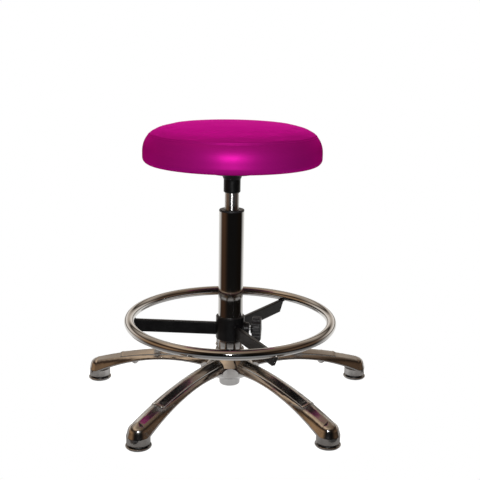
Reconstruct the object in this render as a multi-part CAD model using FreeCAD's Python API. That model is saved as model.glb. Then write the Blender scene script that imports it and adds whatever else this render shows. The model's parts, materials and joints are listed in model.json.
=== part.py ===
# Round swivel work stool: padded seat on a gas lift, sliding foot ring, five-leg cast base.
# Millimetres, +Z up, origin on the column axis at floor level, one leg along +Y.
import FreeCAD, Part
import math
import os
from FreeCAD import Vector

# Clearances
RUN_GAP = 0.08          # radial, shaft turning or sliding in its hole
SEAT_GAP = 0.05         # between pieces fixed to each other
FACE_GAP = 0.3          # between faces of pieces that move past each other

# Glides under the feet
GLIDE_RADIUS = 23.9
GLIDE_THICK = 5.0
GLIDE_BEVEL = 2.6
GLIDE_RECESS = 2.0
GLIDE_ROUND = 1.2
COLLAR_RADIUS = 17.0
COLLAR_SHOWN = 3.3      # collar between glide and foot
COLLAR_ROUND = 0.8
STEM_RADIUS = 5.5
STEM_ROUND = 1.5
STEM_LENGTH = 22.0
STEM_ROOM = 1.0         # hole past the stem's end

# Cast base: legs
LEG_COUNT = 5
FIRST_LEG_ANGLE = 90.0
FOOT_RADIUS = 292.2     # column axis to foot axis
LEG_ROOT = 34.0         # where a leg starts inside the hub
CREST_START = 40.0      # the crest falls from here outwards
CREST_TOP = 86.0
CREST_FALL = 37.6       # fall of the crest from hub to foot
CREST_POWER = 2.2
LEG_DEPTH = 18.0        # crest to the highest point of the arched lower edge
SKIRT_PEAK_RADIUS = 105.0
SKIRT_FALL = 49.0       # fall of the lower edge from its peak to the foot axis
LEG_HALF_ROOT = 21.0    # half width of a leg at the hub
LEG_HALF_FOOT = 22.2    # half width at the foot, and radius of the leg's round end
LEG_LEAN = 5.0          # how far each side leans in, from lower edge to eave
LEG_EDGE = 3.5          # upright strip along the lower edge
ROOF_DROP = 8.0         # crest to eave
CREST_ROUND = 5.0
EAVE_ROUND = 16.0
LEG_STATIONS = 9
LEG_WALL = 4.0
POCKET_COUNT = 3
POCKET_RIB = 5.0
POCKET_STATIONS = 4
BOSS_STEP = 0.3         # the upright foot stands in from the leg's round end
BOSS_RIM = 1.0

# Cast base: hub
HUB_RISE = 16.0         # collar's top above the crest
HUB_COLLAR_HEIGHT = 5.0
HUB_WALL = 4.3          # collar outside the column
HUB_SINK = 21.0         # hub's floor below the legs' arch
HUB_FLOOR_SPREAD = 9.0  # hub's floor wider than the collar
HUB_UNDERCUT = 14.0     # height of the cone under the hub
HUB_PANEL = 13.0        # height of the panel between two legs
HUB_PANEL_LEAN = 10.0
HUB_RADIUS = 60.0       # where the hub has run out into the legs
HUB_FLOOR_ROUND = 3.0
HUB_PANEL_ROUND = 4.0
HUB_COLLAR_HOLLOW = 5.0  # where the collar runs out into the legs
HUB_COLLAR_ROUND = 1.5
VALLEY_ROUND = 20.0     # hollow between two legs

# Tread strip along each leg and its screw
STRIP_START = 45.0
STRIP_BACK = 50.2       # strip's outer end to the foot axis
STRIP_HALF = 14.0
STRIP_GAP = 0.15        # strip above the leg's roof
STRIP_THICK = 3.0
STRIP_EDGE = 2.0
STRIP_CORNER = 1.0
STRIP_ROUND = 3.0
STRIP_STATIONS = 7
STRIP_NOSE = 3.0        # bevel at the strip's outer end
SCREW_BACK = 32.0       # screw to the strip's outer end
SCREW_BOSS = 7.0
SCREW_BOSS_DEPTH = 7.0  # how far the boss stands below the leg's edge
SCREW_SHANK = 2.0
SCREW_HEAD = 4.0
SCREW_HEAD_HEIGHT = 2.6
SCREW_BITE = 1.6        # into the strip

# Column of the gas lift
COLUMN_RADIUS = 25.0
COLUMN_WALL = 2.0
TAPER_ABOVE = 8.0       # the tapered end starts above the hub
TAPER_BELOW = 2.0       # and ends below it
TAPER_IN = 2.8          # loss of radius along the taper
INNER_RISE = 6.0        # the bore's taper lies higher than the outer one
END_LENGTH = 19.5       # column's end below its taper
END_IN = 1.4
END_LIP = 3.0
END_LIP_WIDTH = 2.8
END_ROUND = 2.0
FLOOR_RAISE = 4.5       # bearing plate above the column's end
FLOOR_THICK = 3.5
BUSH_LENGTH = 98.0
BUSH_LIP = 3.6
BUSH_LIP_ROUND = 1.6

# Rod, thrust bearing and buffer
STROKE = 240.0
ROD_RADIUS = 5.0
ROD_BELOW = 4.0         # rod's end below the bearing plate
ROD_TIP = 2.0           # rod's other end above the piston
ROD_ROOM = 0.4
PISTON_HEIGHT = 12.0
PISTON_ROOM = 8.0       # piston above the guide when the seat is highest
PISTON_GROOVE = 3.0
PISTON_GROOVE_DEPTH = 1.5
CLIP_RADIUS = 8.0
CLIP_DEPTH = 0.8        # groove in the rod
CLIP_THICK = 1.2
RACE_IN = 1.8           # bearing washers inside the column's end
RACE_THICK = 2.0
RACE_ROOM = 1.5
BALL_COUNT = 10
BALL_RADIUS = 2.0
BALL_PITCH = 12.0       # radius of the ball circle
BALL_GAP = 0.2
CAGE_HALF = 3.5
CAGE_THICK = 1.6
BUFFER_RADIUS = 13.0
BUFFER_HEIGHT = 13.0
BUFFER_TAPER = 2.0
BUFFER_ROOM = 3.1       # buffer to the pressure tube at its lowest

# Pressure tube
TUBE_RADIUS = 14.0
TUBE_WALL = 2.0
TUBE_LIP = 2.0          # turned-in lower end and closed crown
TUBE_SHOWN = 37.5       # tube in view between column and socket
TUBE_TAPER_SETBACK = 4.5
TUBE_HEAD_IN = 0.8      # loss of radius along the tapered head
TUBE_STAND = 1.0        # tube's crown above the dish's floor
GUIDE_HEIGHT = 32.0
VALVE_HEIGHT = 40.0
PIN_RADIUS = 3.0
PIN_LENGTH = 42.0
PIN_STAND = 5.0         # how far the release pin stands out
PIN_ROUND = 1.0

# Socket and plate under the seat
SOCKET_LENGTH = 38.1
SOCKET_WALL = 2.7
SOCKET_CHAMFER = 1.8
SOCKET_FLARE = 5.3      # wider where it meets the plate
SOCKET_FLARE_HEIGHT = 12.0
SOCKET_FLARE_ROUND = 6.0
PLATE_THICK = 2.5
PLATE_HOLE_ROOM = 0.5
PLATE_RADIUS = 95.0
DISH_DEPTH = 18.0
DISH_FLOOR_RADIUS = 46.0
DISH_RIM_RADIUS = 62.0
DISH_ROUND = 3.0        # inside of the pressed bends
PLATE_SCREWS = 4
PLATE_SCREW_INSET = 15.0
PLATE_SCREW_ANGLE = 15.0
PLATE_SCREW_SHANK = 3.0
PLATE_SCREW_HEAD = 5.5
PLATE_SCREW_HEAD_HEIGHT = 4.0
PLATE_SCREW_ROUND = 1.2
PLATE_SCREW_COVER = 2.0  # board left above the screw's tip
TEE_BARREL = 4.8
TEE_FLANGE = 9.0
TEE_FLANGE_THICK = 1.2

# Release lever
LEVER_ANGLE = 60.0
LEVER_RADIUS = 4.0
LEVER_INNER = 8.0       # inner end, past the release pin
PIVOT_INSET = 6.0       # pivot inside the dish's floor
LEVER_BEND_AFTER = 7.0  # bend, out from the pivot
LEVER_LOW_AFTER = 7.0   # level again, out from the dish's rim
LEVER_SINK = 13.5       # outer run below the inner one
PIVOT_RADIUS = 2.0
PIVOT_END = 0.5
BRACKET_INSIDE = 5.2
BRACKET_WALL = 2.0
BRACKET_LENGTH = 12.0
BRACKET_BASE = 1.5
BRACKET_RISE = 4.2      # ears above the pivot
SLOT_HALF = 6.5
GRIP_AFTER = 13.0       # grip, out from the plate's rim
GRIP_LENGTH = 56.0
GRIP_CAP = 14.0         # grip past the lever's end
GRIP_HALF = 13.0
GRIP_THICK = 10.5
GRIP_ROUND = 4.0

# Seat
SEAT_RADIUS = 175.6
SEAT_BOTTOM = 484.0
SEAT_THICK = 82.5
CROWN_RADIUS = 994.0
UPPER_ROUND = 52.0
LOWER_ROUND = 12.0
SEAM_DROP = 26.5        # seam below the crown
SEAM_GAP = 0.8
COVER_THICK = 1.2
COVER_TURN = 25.6       # cover turned in under the board, from the seat's edge
BOARD_MARGIN = 15.6     # board inside the seat's edge
BOARD_THICK = 12.0
DUST_MARGIN = 1.0
DUST_THICK = 1.0

# Foot ring
RING_YAW = -6.8         # direction of the knob
RING_MAJOR = 205.0
RING_TUBE = 10.0
RING_WALL = 1.5
RING_HEIGHT = 163.3
LINER_WALL = 1.6
LINER_SLIT = 2.0
LINER_LIP = 0.8
CLAMP_WALL = 2.44
CLAMP_BELOW = 6.0       # clamp below the arms
CLAMP_ABOVE = 15.0      # clamp above the arms
CLAMP_ROUND = 1.2
ARM_COUNT = 3
ARM_SADDLE = 2.7        # arm's top above the lowest point of the ring
ARM_HEIGHT = 26.0
ARM_THICK = 9.0
ARM_ROUND = 2.0
ARM_BEVEL = 16.0        # the lower corner, back from the arm's end

# Clamp screw and knob
SCREW_RISE = 14.5       # screw axis above the arms' lower edge
CLAMP_BOSS = 12.5
CLAMP_BOSS_LENGTH = 9.8
CLAMP_BOSS_ROUND = 2.0
CLAMP_SCREW = 4.0
PAD_THICK = 3.0
KNOB_AFTER = 3.0        # knob, out from the boss
KNOB_LENGTH = 22.5
KNOB_RADIUS = 25.5
KNOB_NECK = 9.0
KNOB_NECK_FLARE = 2.0
KNOB_NECK_LENGTH = 3.0
KNOB_CROWN = 1.5
KNOB_ROUND = 4.0
KNOB_FLUTES = 20
KNOB_FLUTE = 2.6
KNOB_SCREW_DEPTH = 16.0

PAST = 1.0              # how far a cutting shape runs past the face it opens

UP = Vector(0, 0, 1)
ORIGIN = Vector(0, 0, 0)


def turned(shape, degrees):
    """A copy of a shape turned about the column axis."""
    copy = shape.copy()
    copy.rotate(ORIGIN, UP, degrees)
    return copy


def tube(outer, inner, low, high):
    """An upright tube round the column axis."""
    height = high - low
    body = Part.makeCylinder(outer, height, Vector(0, 0, low))
    return body.cut(Part.makeCylinder(inner, height, Vector(0, 0, low)))


def disc(radius, low, high, x=0.0, y=0.0):
    """An upright cylinder at (x, y)."""
    return Part.makeCylinder(radius, high - low, Vector(x, y, low))


def block(x_low, x_high, y_half, z_low, z_high):
    """A box along X, centred on Y."""
    return Part.makeBox(x_high - x_low, 2 * y_half, z_high - z_low, Vector(x_low, -y_half, z_low))


def rounded_wire(corners, place):
    """A closed wire through (u, v, radius) corners; place turns (u, v) into a point in space."""
    count = len(corners)
    arcs = []
    for index, (u, v, radius) in enumerate(corners):
        corner = Vector(u, v, 0)
        back = Vector(corners[index - 1][0], corners[index - 1][1], 0) - corner
        ahead = Vector(corners[(index + 1) % count][0], corners[(index + 1) % count][1], 0) - corner
        back.normalize()
        ahead.normalize()
        half = back.getAngle(ahead) / 2
        reach = radius / math.tan(half)
        inward = back + ahead
        inward.normalize()
        middle = corner + inward * (radius / math.sin(half) - radius)
        arcs.append((corner + back * reach, middle, corner + ahead * reach, radius > 0))
    edges = []
    for index, (start, middle, end, is_round) in enumerate(arcs):
        if is_round:
            points = [place(p.x, p.y) for p in (start, middle, end)]
            edges.append(Part.Arc(*points).toShape())
        following = arcs[(index + 1) % count][0]
        edges.append(Part.LineSegment(place(end.x, end.y), place(following.x, following.y)).toShape())
    return Part.Wire(edges)


def revolved(corners):
    """A solid turned from an outline of (radius, height, corner radius)."""
    wire = rounded_wire(corners, lambda u, v: Vector(u, 0, v))
    return Part.Face(wire).revolve(ORIGIN, UP, 360)


def plain(points):
    """An outline with no rounded corners."""
    return [(u, v, 0.0) for u, v in points]


# Sizes that follow: feet and base
BOSS_BOTTOM = GLIDE_THICK + COLLAR_SHOWN + FACE_GAP
GLIDE_COLLAR_TOP = BOSS_BOTTOM - FACE_GAP
BOSS_RADIUS = LEG_HALF_FOOT - BOSS_STEP
LEG_STEP = 360.0 / LEG_COUNT
SKIRT_TOP = CREST_TOP - LEG_DEPTH
HUB_TOP = CREST_TOP + HUB_RISE
HUB_BOTTOM = SKIRT_TOP - HUB_SINK
HUB_LOWER = HUB_BOTTOM + HUB_UNDERCUT
HUB_WAIST = HUB_LOWER + HUB_PANEL
HUB_COLLAR = COLUMN_RADIUS + HUB_WALL
POCKET_START = HUB_RADIUS + LEG_WALL
STRIP_END = FOOT_RADIUS - STRIP_BACK
SCREW_RADIUS_AT = STRIP_END - SCREW_BACK

# Sizes that follow: seat, plate and socket, from the seat down
SEAT_TOP = SEAT_BOTTOM + SEAT_THICK
SEAM_HEIGHT = SEAT_TOP - SEAM_DROP
COVER_WRAP = SEAT_RADIUS - COVER_TURN
BOARD_RADIUS = SEAT_RADIUS - BOARD_MARGIN
COVER_BOTTOM_INSIDE = SEAT_BOTTOM + COVER_THICK
BOARD_BOTTOM = COVER_BOTTOM_INSIDE + SEAT_GAP
BOARD_TOP = BOARD_BOTTOM + BOARD_THICK
DUST_BOTTOM = BOARD_BOTTOM - SEAT_GAP - DUST_THICK
FLANGE_TOP = DUST_BOTTOM - SEAT_GAP
DISH_FLOOR = FLANGE_TOP - DISH_DEPTH
PLATE_SCREW_CIRCLE = PLATE_RADIUS - PLATE_SCREW_INSET
SOCKET_TOP = DISH_FLOOR - PLATE_THICK - SEAT_GAP
SOCKET_BOTTOM = SOCKET_TOP - SOCKET_LENGTH
SOCKET_RADIUS = TUBE_RADIUS + SOCKET_WALL

# Sizes that follow: column, bearing, rod and pressure tube
COLUMN_TOP = SOCKET_BOTTOM - TUBE_SHOWN
COLUMN_BORE = COLUMN_RADIUS - COLUMN_WALL
TAPER_TOP = HUB_TOP + TAPER_ABOVE
TAPER_BOTTOM = HUB_BOTTOM - TAPER_BELOW
TAPER_END_RADIUS = COLUMN_RADIUS - TAPER_IN
TAPER_SLOPE = TAPER_IN / (TAPER_TOP - TAPER_BOTTOM)
COLUMN_BOTTOM = TAPER_BOTTOM - END_LENGTH
END_RADIUS = TAPER_END_RADIUS - END_IN
END_BORE = END_RADIUS - COLUMN_WALL
END_LIP_BORE = END_BORE - END_LIP_WIDTH
FLOOR_BOTTOM = COLUMN_BOTTOM + FLOOR_RAISE
FLOOR_TOP = FLOOR_BOTTOM + FLOOR_THICK
RACE_RADIUS = END_BORE - RACE_IN
LOWER_RACE_TOP = FLOOR_TOP + RACE_THICK
BALL_HEIGHT = LOWER_RACE_TOP + BALL_GAP + BALL_RADIUS
UPPER_RACE_BOTTOM = BALL_HEIGHT + BALL_RADIUS + BALL_GAP
UPPER_RACE_TOP = UPPER_RACE_BOTTOM + RACE_THICK
BUFFER_TOP = UPPER_RACE_TOP + BUFFER_HEIGHT
TUBE_BOTTOM = BUFFER_TOP + BUFFER_ROOM
TUBE_BORE = TUBE_RADIUS - TUBE_WALL
TUBE_TOP = DISH_FLOOR + TUBE_STAND
TUBE_TAPER_START = SOCKET_BOTTOM + TUBE_TAPER_SETBACK
TUBE_TOP_RADIUS = TUBE_RADIUS - TUBE_HEAD_IN
TUBE_TAPER_SLOPE = TUBE_HEAD_IN / (TUBE_TOP - TUBE_TAPER_START)
PISTON_LOW = TUBE_BOTTOM + TUBE_LIP + GUIDE_HEIGHT + STROKE + PISTON_ROOM
ROD_BOTTOM = FLOOR_BOTTOM - ROD_BELOW
ROD_TOP = PISTON_LOW + PISTON_HEIGHT + ROD_TIP
CLIP_GROOVE = ROD_RADIUS - CLIP_DEPTH
CLIP_TOP = FLOOR_BOTTOM - FACE_GAP

# Sizes that follow: release lever
PIN_TOP = TUBE_TOP + PIN_STAND
LEVER_HEIGHT = PIN_TOP + FACE_GAP + LEVER_RADIUS
LEVER_PIVOT = DISH_FLOOR_RADIUS - PIVOT_INSET
LEVER_BEND = LEVER_PIVOT + LEVER_BEND_AFTER
LEVER_LOW = DISH_RIM_RADIUS + LEVER_LOW_AFTER
GRIP_START = PLATE_RADIUS + GRIP_AFTER
GRIP_END = GRIP_START + GRIP_LENGTH
LEVER_END = GRIP_END - GRIP_CAP

# Sizes that follow: foot ring, clamp and knob
LINER_BORE = COLUMN_RADIUS + RUN_GAP
LINER_RADIUS = LINER_BORE + LINER_WALL
CLAMP_BORE = LINER_RADIUS + RUN_GAP
CLAMP_RADIUS = CLAMP_BORE + CLAMP_WALL
ARM_TOP = RING_HEIGHT - RING_TUBE + ARM_SADDLE
ARM_BOTTOM = ARM_TOP - ARM_HEIGHT
CLAMP_BOTTOM = ARM_BOTTOM - CLAMP_BELOW
CLAMP_TOP = ARM_TOP + CLAMP_ABOVE
SCREW_AXIS_HEIGHT = ARM_BOTTOM + SCREW_RISE
CLAMP_BOSS_END = CLAMP_RADIUS + CLAMP_BOSS_LENGTH
KNOB_START = CLAMP_BOSS_END + KNOB_AFTER
KNOB_END = KNOB_START + KNOB_LENGTH
PAD_START = LINER_RADIUS + FACE_GAP
SCREW_START = PAD_START + PAD_THICK + SEAT_GAP


def leg_angles():
    """The direction of each leg."""
    return [FIRST_LEG_ANGLE + LEG_STEP * index for index in range(LEG_COUNT)]


def column_radius(height):
    """Outer radius of the column's tapered end at a height."""
    return COLUMN_RADIUS - TAPER_SLOPE * (TAPER_TOP - height)


def tube_radius(height):
    """Outer radius of the pressure tube's tapered head at a height."""
    return TUBE_RADIUS - TUBE_TAPER_SLOPE * (height - TUBE_TAPER_START)


# The five-leg casting

def crest_height(radius):
    """Height of a leg's crest."""
    share = max(0.0, radius - CREST_START) / (FOOT_RADIUS - CREST_START)
    return CREST_TOP - CREST_FALL * share ** CREST_POWER


def skirt_height(radius):
    """Height of a leg's arched lower edge."""
    share = (radius - SKIRT_PEAK_RADIUS) / (FOOT_RADIUS - SKIRT_PEAK_RADIUS)
    return SKIRT_TOP - SKIRT_FALL * share ** 2


def leg_half(radius):
    """Half width of a leg at its lower edge."""
    share = (radius - LEG_ROOT) / (FOOT_RADIUS - LEG_ROOT)
    return LEG_HALF_ROOT + (LEG_HALF_FOOT - LEG_HALF_ROOT) * share


def ridge_height(crest, half_eave):
    """Height where a leg's two roof faces would meet if its crest were not rounded."""
    slope = math.atan2(ROOF_DROP, half_eave)
    return crest + CREST_ROUND * (1 / math.cos(slope) - 1)


def leg_section(radius):
    """Upright section of a leg: arched lower edge, leaning sides, two roof faces and a rounded crest."""
    half = leg_half(radius)
    half_eave = half - LEG_LEAN
    crest = crest_height(radius)
    skirt = skirt_height(radius)
    corners = [
        (-half, skirt, 0.0),
        (half, skirt, 0.0),
        (half, skirt + LEG_EDGE, LEG_EDGE),
        (half_eave, crest - ROOF_DROP, EAVE_ROUND),
        (0.0, ridge_height(crest, half_eave), CREST_ROUND),
        (-half_eave, crest - ROOF_DROP, EAVE_ROUND),
        (-half, skirt + LEG_EDGE, LEG_EDGE),
    ]
    return rounded_wire(corners, lambda u, v: Vector(radius, u, v))


def spread(low, high, count):
    """Evenly spaced values from low to high."""
    return [low + (high - low) * index / (count - 1) for index in range(count)]


def leg_body():
    """One leg along +X, from inside the hub to its round end at the foot."""
    sections = [leg_section(radius) for radius in spread(LEG_ROOT, FOOT_RADIUS, LEG_STATIONS)]
    last = Part.Face(sections[-1])
    side = block(FOOT_RADIUS - PAST, FOOT_RADIUS + PAST, LEG_HALF_FOOT, 0.0, CREST_TOP)
    side.translate(Vector(0, -LEG_HALF_FOOT, 0))
    round_end = last.common(side).Faces[0].revolve(Vector(FOOT_RADIUS, 0, 0), UP, 180)
    return Part.makeLoft(sections, True, False).fuse(round_end)


def pocket_top(radius):
    """Roof of the hollow under a leg."""
    return crest_height(radius) - ROOF_DROP - LEG_WALL


def leg_pockets():
    """The hollows under one leg, with a cross rib left between two of them."""
    end = FOOT_RADIUS - BOSS_RADIUS - LEG_WALL
    pitch = (end - POCKET_START + POCKET_RIB) / POCKET_COUNT
    pockets = []
    for index in range(POCKET_COUNT):
        low = POCKET_START + pitch * index
        sections = []
        for radius in spread(low, low + pitch - POCKET_RIB, POCKET_STATIONS):
            half = leg_half(radius) - LEG_WALL
            top = pocket_top(radius)
            bottom = skirt_height(radius) - LEG_WALL
            half_top = half - LEG_LEAN * (top - bottom) / (top + 2 * LEG_WALL - bottom)
            corners = plain([(-half, bottom), (half, bottom), (half_top, top), (-half_top, top)])
            sections.append(rounded_wire(corners, lambda u, v, r=radius: Vector(r, u, v)))
        pockets.append(Part.makeLoft(sections, True, False))
    return pockets


def foot_boss():
    """The upright foot under the leg's round end."""
    boss = revolved([
        (0.0, BOSS_BOTTOM, 0.0),
        (BOSS_RADIUS, BOSS_BOTTOM, BOSS_RIM),
        (BOSS_RADIUS, skirt_height(FOOT_RADIUS) + LEG_EDGE, 0.0),
        (0.0, skirt_height(FOOT_RADIUS) + LEG_EDGE, 0.0),
    ])
    boss.translate(Vector(FOOT_RADIUS, 0, 0))
    return boss


def screw_boss():
    """The round boss under a leg that takes the strip's screw."""
    low = skirt_height(SCREW_RADIUS_AT) - SCREW_BOSS_DEPTH
    return disc(SCREW_BOSS, low, pocket_top(SCREW_RADIUS_AT) + PAST, SCREW_RADIUS_AT)


def leg():
    """One finished leg along +X."""
    body = leg_body()
    for pocket in leg_pockets():
        body = body.cut(pocket)
    body = body.fuse([foot_boss(), screw_boss()])
    stem_hole = disc(STEM_RADIUS + RUN_GAP, 0, GLIDE_COLLAR_TOP + STEM_LENGTH + STEM_ROOM, FOOT_RADIUS)
    screw_hole = disc(SCREW_SHANK + SEAT_GAP, 0, CREST_TOP * 2, SCREW_RADIUS_AT)
    return body.cut(stem_hole).cut(screw_hole)


def hub_blank():
    """The hub's turned form, hollowed between the legs."""
    blank = revolved([
        (END_LIP_BORE, HUB_BOTTOM, 0.0),
        (HUB_COLLAR + HUB_FLOOR_SPREAD, HUB_BOTTOM, HUB_FLOOR_ROUND),
        (HUB_RADIUS, HUB_LOWER, 0.0),
        (HUB_RADIUS, (HUB_LOWER + HUB_WAIST) / 2, 0.0),
        (HUB_RADIUS - HUB_PANEL_LEAN, HUB_WAIST, HUB_PANEL_ROUND),
        (HUB_COLLAR, HUB_TOP - HUB_COLLAR_HEIGHT, HUB_COLLAR_HOLLOW),
        (HUB_COLLAR, HUB_TOP, HUB_COLLAR_ROUND),
        (END_LIP_BORE, HUB_TOP, 0.0),
    ])
    half_step = math.radians(LEG_STEP / 2)
    reach = (LEG_HALF_ROOT + VALLEY_ROUND) / math.sin(half_step)
    for angle in leg_angles():
        middle = math.radians(angle) + half_step
        place = Vector(reach * math.cos(middle), reach * math.sin(middle), 0)
        blank = blank.cut(Part.makeCylinder(VALLEY_ROUND, 2 * HUB_TOP, place))
    return blank


def star_base():
    """The casting: hub, legs and feet in one piece, with a tapered bore for the column."""
    one_leg = leg()
    body = hub_blank().fuse([turned(one_leg, angle) for angle in leg_angles()])
    low = HUB_BOTTOM - PAST
    high = HUB_TOP + PAST
    bore = Part.makeCone(
        column_radius(low) + SEAT_GAP, column_radius(high) + SEAT_GAP, high - low, Vector(0, 0, low)
    )
    return body.cut(bore)


# Tread strips and their screws

def strip_section(radius):
    """Section of a tread strip: it sits on the leg's two roof faces and repeats their slope."""
    half_eave = leg_half(radius) - LEG_LEAN
    crest = crest_height(radius)
    ridge = ridge_height(crest, half_eave) + STRIP_GAP
    slope = (ridge - crest + ROOF_DROP) / half_eave
    side = ridge - slope * STRIP_HALF
    corners = [
        (-STRIP_HALF, side, 0.0),
        (0.0, ridge, 0.0),
        (STRIP_HALF, side, 0.0),
        (STRIP_HALF, side + STRIP_EDGE, STRIP_CORNER),
        (0.0, ridge + STRIP_THICK, STRIP_ROUND),
        (-STRIP_HALF, side + STRIP_EDGE, STRIP_CORNER),
    ]
    return rounded_wire(corners, lambda u, v: Vector(radius, u, v))


def strip_screw_top():
    """Height of the strip screw's tip."""
    return crest_height(SCREW_RADIUS_AT) + SCREW_BITE


def tread_strip():
    """One tread strip along +X."""
    sections = [strip_section(radius) for radius in spread(STRIP_START, STRIP_END, STRIP_STATIONS)]
    strip = Part.makeLoft(sections, True, False)
    hole = disc(SCREW_SHANK + SEAT_GAP, 0, strip_screw_top() + SEAT_GAP, SCREW_RADIUS_AT)
    high = crest_height(STRIP_END) + STRIP_THICK + 2 * PAST
    start = Vector(STRIP_END - STRIP_NOSE, -2 * STRIP_HALF, high)
    bevel = Part.makePolygon([
        start,
        Vector(STRIP_END + PAST, -2 * STRIP_HALF, high),
        Vector(STRIP_END + PAST, -2 * STRIP_HALF, high - 3 * STRIP_THICK),
        start,
    ])
    wedge = Part.Face(bevel).extrude(Vector(0, 4 * STRIP_HALF, 0))
    return strip.cut(hole).cut(wedge)


def strip_screw():
    """The screw that holds a tread strip from below."""
    seat = skirt_height(SCREW_RADIUS_AT) - SCREW_BOSS_DEPTH - SEAT_GAP
    head = disc(SCREW_HEAD, seat - SCREW_HEAD_HEIGHT, seat, SCREW_RADIUS_AT)
    return head.fuse(disc(SCREW_SHANK, seat - PAST, strip_screw_top(), SCREW_RADIUS_AT))


# Glides

def glide_cap():
    """Plated cup that stands on the floor, under the first foot along +X."""
    cap = revolved([
        (0.0, 0.0, 0.0),
        (GLIDE_RADIUS - GLIDE_BEVEL, 0.0, 1.0),
        (GLIDE_RADIUS, GLIDE_BEVEL, 1.0),
        (GLIDE_RADIUS, GLIDE_THICK, GLIDE_ROUND),
        (COLLAR_RADIUS + SEAT_GAP, GLIDE_THICK, 0.0),
        (COLLAR_RADIUS + SEAT_GAP, GLIDE_THICK - GLIDE_RECESS, 0.0),
        (0.0, GLIDE_THICK - GLIDE_RECESS, 0.0),
    ])
    cap.translate(Vector(FOOT_RADIUS, 0, 0))
    return cap


def glide_collar():
    """Plastic collar with the stem that plugs into the foot."""
    low = GLIDE_THICK - GLIDE_RECESS + SEAT_GAP
    collar = revolved([
        (0.0, low, 0.0),
        (COLLAR_RADIUS, low, 0.0),
        (COLLAR_RADIUS, GLIDE_COLLAR_TOP, COLLAR_ROUND),
        (STEM_RADIUS, GLIDE_COLLAR_TOP, 0.0),
        (STEM_RADIUS, GLIDE_COLLAR_TOP + STEM_LENGTH, STEM_ROUND),
        (0.0, GLIDE_COLLAR_TOP + STEM_LENGTH, 0.0),
    ])
    collar.translate(Vector(FOOT_RADIUS, 0, 0))
    return collar


# Column, bush and bearing

def column_tube():
    """Outer tube of the gas lift, tapered where it wedges into the hub."""
    lip_top = COLUMN_BOTTOM + END_LIP
    return revolved([
        (END_LIP_BORE, COLUMN_BOTTOM, 0.0),
        (END_RADIUS, COLUMN_BOTTOM, END_ROUND),
        (TAPER_END_RADIUS, TAPER_BOTTOM, 0.0),
        (COLUMN_RADIUS, TAPER_TOP, 0.0),
        (COLUMN_RADIUS, COLUMN_TOP, 0.0),
        (COLUMN_BORE, COLUMN_TOP, 0.0),
        (COLUMN_BORE, TAPER_TOP + INNER_RISE, 0.0),
        (TAPER_END_RADIUS - COLUMN_WALL, TAPER_BOTTOM + INNER_RISE, 0.0),
        (END_BORE, lip_top + END_LIP, 0.0),
        (END_BORE, lip_top, 0.0),
        (END_LIP_BORE, lip_top, 0.0),
    ])


def guide_bush():
    """Plastic bush that guides the pressure tube, with a rounded lip on the column's rim."""
    bore = TUBE_RADIUS + RUN_GAP
    outside = COLUMN_BORE - SEAT_GAP
    lip_low = COLUMN_TOP + SEAT_GAP
    return revolved([
        (bore, COLUMN_TOP - BUSH_LENGTH, 0.0),
        (outside, COLUMN_TOP - BUSH_LENGTH, 0.0),
        (outside, lip_low, 0.0),
        (COLUMN_RADIUS, lip_low, 0.0),
        (COLUMN_RADIUS, lip_low + BUSH_LIP, BUSH_LIP_ROUND),
        (bore, lip_low + BUSH_LIP, 0.0),
    ])


def column_floor():
    """Plate that closes the column's end and carries the bearing."""
    return tube(END_BORE - SEAT_GAP, ROD_RADIUS + ROD_ROOM, FLOOR_BOTTOM, FLOOR_TOP)


def lower_race():
    """Bearing washer on the column's floor."""
    return tube(RACE_RADIUS, ROD_RADIUS + RACE_ROOM, FLOOR_TOP, LOWER_RACE_TOP)


def upper_race():
    """Bearing washer that turns with the rod."""
    return tube(RACE_RADIUS, ROD_RADIUS + SEAT_GAP, UPPER_RACE_BOTTOM, UPPER_RACE_TOP)


def ball_places():
    """Centres of the bearing balls."""
    places = []
    for index in range(BALL_COUNT):
        angle = 2 * math.pi * index / BALL_COUNT
        places.append(Vector(BALL_PITCH * math.cos(angle), BALL_PITCH * math.sin(angle), BALL_HEIGHT))
    return places


def bearing_balls():
    """The ring of balls."""
    return Part.makeCompound([Part.makeSphere(BALL_RADIUS, place) for place in ball_places()])


def ball_cage():
    """Flat cage with a hole for each ball."""
    low = BALL_HEIGHT - CAGE_THICK / 2
    cage = tube(BALL_PITCH + CAGE_HALF, BALL_PITCH - CAGE_HALF, low, low + CAGE_THICK)
    for place in ball_places():
        cage = cage.cut(disc(BALL_RADIUS + BALL_GAP, low, low + CAGE_THICK, place.x, place.y))
    return cage


def rubber_buffer():
    """End stop on the rod, above the bearing."""
    bore = ROD_RADIUS + SEAT_GAP
    return revolved([
        (bore, UPPER_RACE_TOP, 0.0),
        (BUFFER_RADIUS, UPPER_RACE_TOP, 1.0),
        (BUFFER_RADIUS - BUFFER_TAPER, BUFFER_TOP, 2.0),
        (bore, BUFFER_TOP, 0.0),
    ])


def piston_rod():
    """Rod held in the column's floor, with a groove for its clip."""
    return revolved(plain([
        (0.0, ROD_BOTTOM),
        (ROD_RADIUS, ROD_BOTTOM),
        (ROD_RADIUS, CLIP_TOP - CLIP_THICK),
        (CLIP_GROOVE, CLIP_TOP - CLIP_THICK),
        (CLIP_GROOVE, CLIP_TOP),
        (ROD_RADIUS, CLIP_TOP),
        (ROD_RADIUS, ROD_TOP),
        (0.0, ROD_TOP),
    ]))


def rod_clip():
    """Open clip in the rod's groove, under the column's floor."""
    low = CLIP_TOP - CLIP_THICK + SEAT_GAP
    high = CLIP_TOP - SEAT_GAP
    ring = tube(CLIP_RADIUS, CLIP_GROOVE + SEAT_GAP, low, high)
    return ring.cut(block(0.0, 2 * CLIP_RADIUS, CLIP_GROOVE - CLIP_DEPTH, low, high))


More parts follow.
